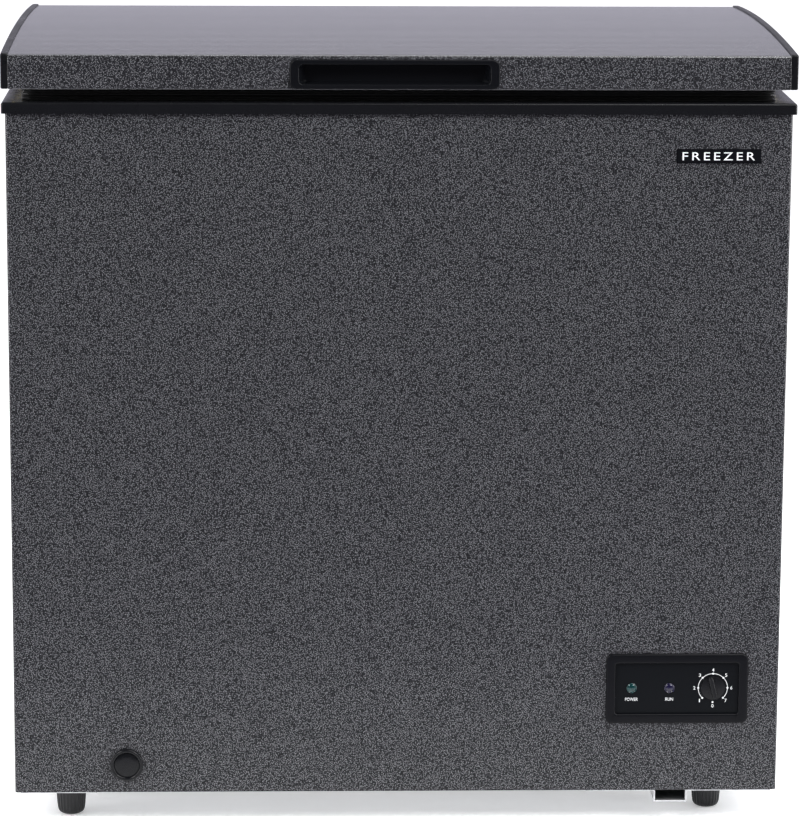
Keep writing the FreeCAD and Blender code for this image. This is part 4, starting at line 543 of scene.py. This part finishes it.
tree.links.new(ramp(tree, dust.outputs["Fac"], (0.35, (0.014,) * 3), (0.75, (0.026,) * 3)),
               shader.inputs["Base Color"])
gasket_mesh = surface("gasket", gasket_points, closed_u=True, closed_v=True)
outward(gasket_mesh)
piece("gasket", gasket_mesh, vinyl, "lid", "gasket_rubber", "lid_gasket", smooth=60)

# ------------------------------------------------------------------------------------------
# Handle: a glossy black moulding let into the lid's front, a thin rounded frame round a long
# finger recess with sloping ends.
# ------------------------------------------------------------------------------------------
gloss_black = black_plastic("gloss_black", (0.0038, 0.0041, 0.0052), 0.16, 0.03, coat=0.08,
                            gloss=0.06)


def upright(centre, half, radius, y, count=9):
    """A rounded rectangle in the upright plane at y, centred at (x, z), (half width, half height)."""
    flat, _ = rounded_frame((centre[0] - half[0], centre[1] - half[1]),
                            (centre[0] + half[0], centre[1] + half[1]), radius, count)
    return np.column_stack([flat[:, 0], np.full(len(flat), y), flat[:, 1]])


def rolled(centre, half, radius, front, roll, steps=6, inner=False):
    """Loops over a rounded edge: from the side to the front face, or from it into a window."""
    loops = []
    for angle in np.radians(np.linspace(0, 90, steps)):
        if inner:
            inset, y = -roll * (1 - math.sin(angle)), front + roll * (1 - math.cos(angle))
        else:
            inset, y = roll * (1 - math.cos(angle)), front + roll * (1 - math.sin(angle))
        loops.append(upright(centre, (half[0] - inset, half[1] - inset),
                             max(radius - inset, 0.0006), y))
    return loops


handle_centre = (handle_low + handle_high)[[0, 2]] / 2
handle_half = (handle_high - handle_low)[[0, 2]] / 2
recess_half = handle_half - (FRAME_SIDE, FRAME_EDGE)
lid_face = skin_low[1]
front = handle_low[1]
FRAME_CORNER, FRAME_ROLL, RECESS_CORNER, RECESS_ROLL = 0.0075, 0.0016, 0.0045, 0.0014
RECESS_BACK, RECESS_SLOPE = 0.016, 0.0055
loops = [upright(handle_centre, recess_half + CUP_WALL, 0.004, handle_high[1]),
         upright(handle_centre, recess_half + CUP_WALL, 0.004, lid_face),
         upright(handle_centre, handle_half, FRAME_CORNER, lid_face)]
loops += rolled(handle_centre, handle_half, FRAME_CORNER, front, FRAME_ROLL)
loops += [upright(handle_centre, recess_half + 0.0016, 0.0058, front + 0.0001)]
loops += rolled(handle_centre, recess_half, RECESS_CORNER, front, RECESS_ROLL, inner=True)
loops += [upright(handle_centre, recess_half - (RECESS_SLOPE * share, 0.0012 * share), RECESS_CORNER,
                  front + 0.0016 + (RECESS_BACK - 0.003) * share) for share in (0.3, 0.65, 0.93)]
loops += [upright(handle_centre, recess_half - (RECESS_SLOPE + 0.001, 0.0022), 0.0035,
                  front + RECESS_BACK)]
piece("handle", loft("handle", loops), gloss_black, "lid", "gloss_black", "handle_cup")

# ------------------------------------------------------------------------------------------
# Badge: a gloss black plate stuck to the front near the top right corner, with plain white
# raised lettering.
# ------------------------------------------------------------------------------------------
dress(gloss_black, "badge_plate")


def lettering(name, text, height, width, centre, y, bold=0.0, rise=0.0002, spacing=1.0):
    """Upright raised text facing the front, fitted to a cap height and a width round (x, z)."""
    curve = bpy.data.curves.new(name, "FONT")
    curve.body = text
    curve.space_character = spacing
    curve.offset = bold
    curve.extrude = 0.05
    curve.resolution_u = 4
    shown = bpy.data.objects.new(name, curve)
    mesh = bpy.data.meshes.new_from_object(shown)
    bpy.data.objects.remove(shown)
    flat = np.empty(len(mesh.vertices) * 3)
    mesh.vertices.foreach_get("co", flat)
    flat = flat.reshape(-1, 3)
    low, high = flat.min(0), flat.max(0)
    flat = (flat - (low + high) / 2) / (high - low) * (width, height, rise)
    placed = np.column_stack([flat[:, 0] + centre[0], y - rise / 2 - flat[:, 2],
                              flat[:, 1] + centre[1]])
    mesh.vertices.foreach_set("co", placed.ravel())
    mesh.update()
    return mesh


def printed(name, colour):
    """Screen-printed ink or paint, its cover a little uneven."""
    made, tree, shader = finish_of(name, colour, 0.45)
    place = own_place(tree)
    cover = add(tree, "ShaderNodeTexNoise", Vector=place, Scale=1800.0, Detail=2.0)
    tree.links.new(ramp(tree, cover.outputs["Fac"], (0.3, tuple(c * 0.82 for c in colour)),
                        (0.6, colour)), shader.inputs["Base Color"])
    return made


white_ink = printed("white_ink", (0.80, 0.81, 0.82))
badge_low, badge_high = (np.array(corner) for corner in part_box("badge_plate"))
badge_centre = ((badge_low + badge_high) / 2)[[0, 2]]
LETTER_HIGH, WORD_WIDE = 0.0086, 0.078
piece("badge_lettering", lettering("badge_lettering", "FREEZER", LETTER_HIGH, WORD_WIDE,
                                   badge_centre, badge_low[1], bold=0.002, spacing=1.35),
      white_ink, "cabinet", "white_plastic", smooth=0)

# ------------------------------------------------------------------------------------------
# Control panel: a glossy black frame snapped into the steel with two pegs, round a sunk flat
# plate with two lamps, a thermostat scale and its knob.
# ------------------------------------------------------------------------------------------
bezel_low, bezel_high = (np.array(corner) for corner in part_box("control_bezel"))
panel_centre = ((bezel_low + bezel_high) / 2)[[0, 2]]
panel_half = ((bezel_high - bezel_low) / 2)[[0, 2]]
steel_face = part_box("outer_shell")[0][1]
fascia_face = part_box("control_fascia")[0][1]
PANEL_BORDER, PANEL_CORNER, PANEL_ROLL, SKIRT_INSET = 0.0105, 0.007, 0.0022, 0.0063
WINDOW_CORNER, WINDOW_ROLL = 0.003, 0.0018
window_half = panel_half - PANEL_BORDER
loops = [upright(panel_centre, panel_half - SKIRT_INSET, 0.002, bezel_high[1]),
         upright(panel_centre, panel_half - SKIRT_INSET, 0.002, steel_face),
         upright(panel_centre, panel_half, PANEL_CORNER, steel_face)]
loops += rolled(panel_centre, panel_half, PANEL_CORNER, bezel_low[1], PANEL_ROLL)
loops += [upright(panel_centre, window_half + PANEL_ROLL, 0.0052, bezel_low[1] + 0.0002)]
loops += rolled(panel_centre, window_half, WINDOW_CORNER, bezel_low[1] + 0.0002, WINDOW_ROLL,
                inner=True)
loops += [upright(panel_centre, window_half - 0.0004, WINDOW_CORNER, fascia_face + 0.0006)]
piece("panel_frame", loft("panel_frame", loops), gloss_black, "cabinet", "gloss_black",
      "control_bezel")
dress(gloss_black, "panel_pegs")
dress(black_plastic("fascia_black", (0.0035, 0.0042, 0.0052), 0.24, 0.02, coat=0.05, gloss=0.05),
      "control_fascia")

INK, NUMERAL_HIGH, NUMERAL_WIDE, ONE_WIDE, LABEL_HIGH, LABEL_DROP = \
    0.00006, 0.0038, 0.0024, 0.0011, 0.0036, 0.0128


def flat_ring(name, centre, inner, outer, y, start=0.0, end=360.0, count=97):
    """A thin flat ring or arc facing the front, from one angle to another in degrees."""
    angle = np.radians(np.linspace(start, end, count))
    way = np.stack([np.cos(angle), np.sin(angle)], 1)
    rows = [(inner, y + INK), (inner, y - INK), (outer, y - INK), (outer, y + INK)]
    points = np.stack([np.column_stack([centre[0] + radius * way[:, 0],
                                        np.full(count, depth),
                                        centre[1] + radius * way[:, 1]])
                       for radius, depth in rows], 1)
    mesh = surface(name, points, closed_v=True)
    outward(mesh)
    return mesh


def discs(name, centres, radius, y, count=20):
    """Small flat dots facing the front, all in one mesh."""
    angle = np.linspace(0, 2 * math.pi, count, endpoint=False)
    rim = radius * np.stack([np.cos(angle), np.sin(angle)], 1)
    centres = np.asarray(centres)
    front = centres[:, None] + rim[None]
    points = np.stack([np.stack([front[..., 0], np.full(front.shape[:2], depth), front[..., 1]], -1)
                       for depth in (y + INK, y - INK)], 1)
    index = np.arange(points[..., 0].size).reshape(points.shape[:3])
    back, face = index[:, 0], index[:, 1]
    sides = np.stack([back, np.roll(back, -1, 1), np.roll(face, -1, 1), face], -1).reshape(-1, 4)
    mesh = bpy.data.meshes.new(name)
    mesh.from_pydata(points.reshape(-1, 3).tolist(), [],
                     face[:, ::-1].tolist() + back.tolist() + sides.tolist())
    outward(mesh)
    return mesh


knob_low, knob_high = (np.array(corner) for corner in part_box("thermostat_knob"))
dial = ((knob_low + knob_high) / 2)[[0, 2]]
DIAL_RING, DIAL_STROKE, DIAL_DOT, NUMERAL_RING = 0.0162, 0.00032, 0.0011, 0.0205
numeral_turns = dict(zip("1234567", np.radians(np.linspace(225, -45, 7)))) | {"0": -math.pi / 2}
print_y = fascia_face - INK
piece("dial_scale", flat_ring("dial_scale", dial, DIAL_RING - DIAL_STROKE, DIAL_RING + DIAL_STROKE,
                              print_y, -45, 225), white_ink, "cabinet", "white_plastic", smooth=0)
spots = [dial + DIAL_RING * np.array([math.cos(t), math.sin(t)]) for t in numeral_turns.values()]
piece("dial_dots", discs("dial_dots", spots, DIAL_DOT, print_y - INK), white_ink, "cabinet",
      "white_plastic", smooth=0)
for numeral, t in numeral_turns.items():
    spot = dial + NUMERAL_RING * np.array([math.cos(t), math.sin(t)])
    wide = ONE_WIDE if numeral == "1" else NUMERAL_WIDE
    piece(f"dial_{numeral}", lettering(f"dial_{numeral}", numeral, NUMERAL_HIGH, wide, spot,
                                       fascia_face, bold=0.01, rise=2 * INK),
          white_ink, "cabinet", "white_plastic", smooth=0)
for name, text, width in (("power", "POWER", 0.0142), ("run", "RUN", 0.0087)):
    low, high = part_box(f"{name}_lens")
    piece(f"{name}_label", lettering(f"{name}_label", text, LABEL_HIGH, width,
                                     ((low[0] + high[0]) / 2, dial[1] - LABEL_DROP), fascia_face,
                                     bold=0.004, rise=2 * INK),
          white_ink, "cabinet", "white_plastic", smooth=0)

# ------------------------------------------------------------------------------------------
# Lamps: two domed coloured lenses pressed into the plate over the indicator board, each with
# a low moulded rim.
# ------------------------------------------------------------------------------------------


def turned(name, centre, profile, count=64, wave=None):
    """A solid of revolution about an upright or level axis through (radius, height) points.

    centre gives the fixed pair of coordinates, and the axis is +Z for a pair named xy and -Y
    for xz; wave scales each row's radius round the turn.
    """
    plane, (first, second) = centre
    profile = np.asarray(profile, float)
    angle = np.linspace(0, 2 * math.pi, count, endpoint=False)
    radius = np.repeat(profile[:, :1], count, 1)
    if wave is not None:
        radius = radius * wave(angle, profile)
    a, b = radius * np.cos(angle), radius * np.sin(angle)
    height = np.repeat(profile[:, 1:], count, 1)
    if plane == "xy":
        points = np.stack([first + a, second + b, height], -1)
    else:
        points = np.stack([first + a, height, second + b], -1)
    return loft(name, points)


def lens_finish(name, colour, painted_glint):
    """Tinted clear plastic over a diffuser, with small pale spots painted on all over it as glints."""
    made, tree, shader = finish_of(name, colour, 0.12, coat=0.15, coat_roughness=0.03)
    shader.inputs["Transmission Weight"].default_value = 0.25
    place = own_place(tree)
    cells = add(tree, "ShaderNodeTexVoronoi", Vector=place, Scale=900.0)
    # Painted glints: small pale spots over the whole lens.
    tree.links.new(ramp(tree, cells.outputs["Distance"], (0.1, painted_glint), (0.7, colour)),
                   shader.inputs["Base Color"])
    return made


LENS_STEM = 0.0035
for name, colour, painted_glint, slot in (
        ("power_lens", (0.0, 0.020, 0.022), (0.0, 0.075, 0.075), "green_lens"),
        ("run_lens", (0.005, 0.004, 0.022), (0.014, 0.010, 0.055), "blue_lens")):
    low, high = (np.array(corner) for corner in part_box(name))
    spot = ((low + high) / 2)[[0, 2]]
    radius, face = (high[0] - low[0]) / 2, low[1]
    dome = [(LENS_STEM, high[1]), (LENS_STEM, fascia_face + 0.0002), (radius, fascia_face + 0.0002),
            (radius, face + 0.0006), (radius * 0.96, face + 0.0002), (radius * 0.88, face),
            (radius * 0.80, face + 0.0002), (radius * 0.76, face + 0.0005),
            (radius * 0.70, face + 0.0002), (radius * 0.50, face - 0.0004),
            (radius * 0.25, face - 0.0007), (0.0003, face - 0.0008)]
    piece(f"{name}_dome", turned(f"{name}_dome", ("xz", spot), dome),
          lens_finish(f"{name}_plastic", colour, painted_glint), "cabinet", slot, name)

board, tree, shader = finish_of("circuit_board", (0.02, 0.12, 0.05), 0.4)
place = own_place(tree)
tracks = add(tree, "ShaderNodeTexBrick", Vector=place, Scale=260.0)
tracks.inputs["Color1"].default_value = (0.015, 0.11, 0.045, 1)
tracks.inputs["Color2"].default_value = (0.03, 0.17, 0.07, 1)
tracks.inputs["Mortar"].default_value = (0.18, 0.14, 0.05, 1)
tree.links.new(tracks.outputs["Color"], shader.inputs["Base Color"])
dress(board, "indicator_board")

# ------------------------------------------------------------------------------------------
# Thermostat knob: a thin black disc with a finger bar across it, which leans a little to the
# left at rest, pushed onto the spindle.
# ------------------------------------------------------------------------------------------
knob_radius = (knob_high[0] - knob_low[0]) / 2
KNOB_DISC, BAR_HALF, BAR_TIP, BAR_WIDE = 0.0016, 0.0122, 0.0138, 0.0031
BAR_LEAN = math.radians(14)
disc_face = knob_high[1] - KNOB_DISC
disc = [(knob_radius, knob_high[1]), (knob_radius, disc_face + 0.0007),
        (knob_radius - 0.0003, disc_face + 0.0002), (knob_radius - 0.0009, disc_face),
        (0.0004, disc_face)]
piece("knob_disc", turned("knob_disc", ("xz", dial), disc),
      black_plastic("knob_black", (0.0045, 0.0048, 0.0058), 0.24, 0.05, gloss=0.2), "knob", "black_plastic",
      "thermostat_knob")
ridge = []
for share, narrow in ((0.0, 0.0), (0.55, 0.0003), (0.85, 0.0009), (0.97, 0.0018), (1.0, 0.0026)):
    flat, _ = rounded_frame((-BAR_WIDE + narrow, -BAR_HALF + narrow * 0.6),
                            (BAR_WIDE - narrow, BAR_TIP - narrow * 0.6),
                            max(BAR_WIDE - narrow - 0.0002, 0.0003))
    x = flat[:, 0] * math.cos(BAR_LEAN) - flat[:, 1] * math.sin(BAR_LEAN)
    z = flat[:, 0] * math.sin(BAR_LEAN) + flat[:, 1] * math.cos(BAR_LEAN)
    depth = disc_face + 0.0004 + (knob_low[1] - disc_face - 0.0004) * share
    ridge.append(np.column_stack([dial[0] + x, np.full(len(flat), depth), dial[1] + z]))
piece("knob_bar", loft("knob_bar", ridge), bpy.data.materials["knob_black"], "knob",
      "black_plastic", "thermostat_knob")

# ------------------------------------------------------------------------------------------
# Drain: a black push-in cap low on the front, with a rolled rim round a shallow dish, and a
# white rubber plug with a pull knob in the tub's floor.
# ------------------------------------------------------------------------------------------
cap_low, cap_high = (np.array(corner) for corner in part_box("drain_cap"))
cap_spot = ((cap_low + cap_high) / 2)[[0, 2]]
cap_radius = (cap_high[0] - cap_low[0]) / 2
CAP_STEM, CAP_RIM = 0.0082, 0.0042
rim_turn = np.radians(np.linspace(0, 180, 13))
rim = [(cap_radius - CAP_RIM / 2 * (1 - math.cos(a)), cap_low[1] + 0.0022 * (1 - math.sin(a)))
       for a in rim_turn]
drain_profile = [(CAP_STEM - 0.001, cap_high[1]), (CAP_STEM, cap_high[1] - 0.001),
                 (CAP_STEM, steel_face - 0.0003), (cap_radius - 0.0004, steel_face - 0.0003),
                 (cap_radius, steel_face - 0.0009)]
drain_profile += rim + [(cap_radius - CAP_RIM - 0.0012, cap_low[1] + 0.0016),
                        (cap_radius * 0.4, cap_low[1] + 0.0011), (0.0004, cap_low[1] + 0.0009)]
piece("drain_front_cap", turned("drain_front_cap", ("xz", cap_spot), drain_profile),
      black_plastic("cap_black", (0.0045, 0.0048, 0.0058), 0.20, 0.05, gloss=0.2), "outer_drain_cap",
      "black_plastic", "drain_cap")
dress(tub_white, "drain_plug")

# ------------------------------------------------------------------------------------------
# Levelling feet: four black ribbed plastic feet, each moulded round a zinc plated stud that
# screws into a threaded insert in the base plates.
# ------------------------------------------------------------------------------------------
FOOT_RIBS, RIB_DEPTH, STUD = 24, 0.045, 0.004
FOOT_SIDE = [(0.0, 0.0), (0.50, 0.0), (0.62, 0.014), (0.74, 0.052), (0.81, 0.110), (0.845, 0.180),
             (0.855, 0.235), (0.865, 0.26), (0.90, 0.50), (0.945, 0.78), (0.965, 0.86),
             (0.985, 0.885), (0.990, 0.955), (0.975, 0.985), (0.94, 1.0), (0.23, 1.0)]


def ribs(angle, profile):
    """Radius shares round a foot: a cosine of the angle, on its side faces alone."""
    rise = (profile[:, 1] - profile[:, 1].min()) / np.ptp(profile[:, 1])
    ribbed = np.clip((rise - 0.10) / 0.08, 0, 1) * np.clip((0.87 - rise) / 0.03, 0, 1)
    return 1 - RIB_DEPTH * ribbed[:, None] * (0.5 - 0.5 * np.cos(FOOT_RIBS * angle))[None]


foot_black = black_plastic("foot_black", (0.0075, 0.0078, 0.009), 0.40, 0.12)
foot_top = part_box("base_plates")[1][2] - 0.0018
for name in ("foot_front_left", "foot_front_right", "foot_rear_left", "foot_rear_right"):
    low, high = (np.array(corner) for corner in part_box(name))
    spot, radius = ((low + high) / 2)[:2], (high[0] - low[0]) / 2
    side = [(max(share * radius, 0.0003), rise * foot_top) for share, rise in FOOT_SIDE]
    piece(f"{name}_grip", turned(f"{name}_grip", ("xy", spot), side, FOOT_RIBS * 8, ribs),
          foot_black, name, "black_plastic", name)
    screw = [(STUD, foot_top - 0.002), (STUD, high[2] - 0.0008), (STUD - 0.0008, high[2])]
    piece(f"{name}_stud", turned(f"{name}_stud", ("xy", spot), screw, 32), zinc, name, "zinc", name)

# ------------------------------------------------------------------------------------------
# Hinge springs: two coil springs of blackened wire with closed ends, each standing in its
# hinge housing and pushing the plunger up against the leaf's eccentric.
# ------------------------------------------------------------------------------------------
WIRE, COILS, CLOSED = 0.002, 8, 0.0023
spring_steel, tree, shader = finish_of("spring_steel", (0.30, 0.30, 0.31), 0.34, metallic=1.0)
place = own_place(tree)
oil = add(tree, "ShaderNodeTexNoise", Vector=place, Scale=240.0, Detail=3.0)
tree.links.new(ramp(tree, oil.outputs["Fac"], (0.3, (0.16, 0.16, 0.165)),
                    (0.7, (0.36, 0.355, 0.35))), shader.inputs["Base Color"])


def coil(name, x, y, low, high, radius):
    """A helix of round wire: it climbs evenly, save for one nearly flat turn at each end."""
    turns = np.linspace(0, COILS, COILS * 32 + 1)
    climb = high - low - WIRE
    steps = np.interp(turns, [0, 1, COILS - 1, COILS], [0, CLOSED, climb - CLOSED, climb])
    angle = turns * 2 * math.pi
    outward_way = np.stack([np.cos(angle), np.sin(angle), np.zeros_like(angle)], 1)
    centre = radius * outward_way + np.array([x, y, low + WIRE / 2])
    centre[:, 2] += steps
    along_wire = np.gradient(centre, axis=0)
    along_wire /= np.linalg.norm(along_wire, axis=1, keepdims=True)
    across = np.cross(along_wire, outward_way)
    around = np.linspace(0, 2 * math.pi, 12, endpoint=False)[None, :, None]
    rings = centre[:, None] + WIRE / 2 * (np.cos(around) * outward_way[:, None]
                                          + np.sin(around) * across[:, None])
    return loft(name, rings)


spring_low, spring_high = (np.array(corner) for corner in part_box("hinge_springs"))
for side, label in ((-1, "left"), (1, "right")):
    plunger_low, plunger_high = (np.array(corner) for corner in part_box(f"hinge_plunger_{label}"))
    x, y = ((plunger_low + plunger_high) / 2)[:2]
    reach = side * spring_high[0] - x if side > 0 else x - spring_low[0]
    mesh = coil(f"spring_{label}", x, y, spring_low[2], spring_high[2], reach - WIRE / 2)
    spring = piece(f"spring_{label}", mesh, spring_steel, None, "spring_steel", "hinge_springs")
    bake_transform(spring)

# ------------------------------------------------------------------------------------------
# Compressor: a pot of two deep-drawn steel halves welded together and painted black, on four
# rubber grommets.
# ------------------------------------------------------------------------------------------
pot_black, tree, shader = finish_of("pot_black", (0.014, 0.014, 0.015), 0.30)
place = own_place(tree)
runs = add(tree, "ShaderNodeTexNoise", Vector=place, Scale=60.0, Detail=4.0)
tree.links.new(ramp(tree, runs.outputs["Fac"], (0.3, (0.010, 0.010, 0.011)),
                    (0.7, (0.022, 0.022, 0.023))), shader.inputs["Base Color"])
bump(tree, shader, runs.outputs["Fac"], 0.15, 0.0005)
dress(pot_black, "compressor_shell")

rubber, tree, shader = finish_of("rubber", (0.016, 0.016, 0.016), 0.7)
place = own_place(tree)
bloom = add(tree, "ShaderNodeTexNoise", Vector=place, Scale=300.0, Detail=3.0)
tree.links.new(ramp(tree, bloom.outputs["Fac"], (0.3, (0.012,) * 3), (0.7, (0.024,) * 3)),
               shader.inputs["Base Color"])
dress(rubber, "compressor_grommets")

# ------------------------------------------------------------------------------------------
# Basket: steel wire welded into a mesh and coated with white vinyl, hung across the tub by two
# rails on the collar.
# ------------------------------------------------------------------------------------------
coated_wire, tree, shader = finish_of("coated_wire", (0.78, 0.79, 0.80), 0.28)
place = own_place(tree)
dip = add(tree, "ShaderNodeTexNoise", Vector=place, Scale=90.0, Detail=3.0)
tree.links.new(ramp(tree, dip.outputs["Fac"], (0.3, (0.73, 0.74, 0.75)), (0.7, (0.82, 0.83, 0.835))),
               shader.inputs["Base Color"])
bump(tree, shader, dip.outputs["Fac"], 0.12, 0.0004)
dress(coated_wire, "wire_basket")
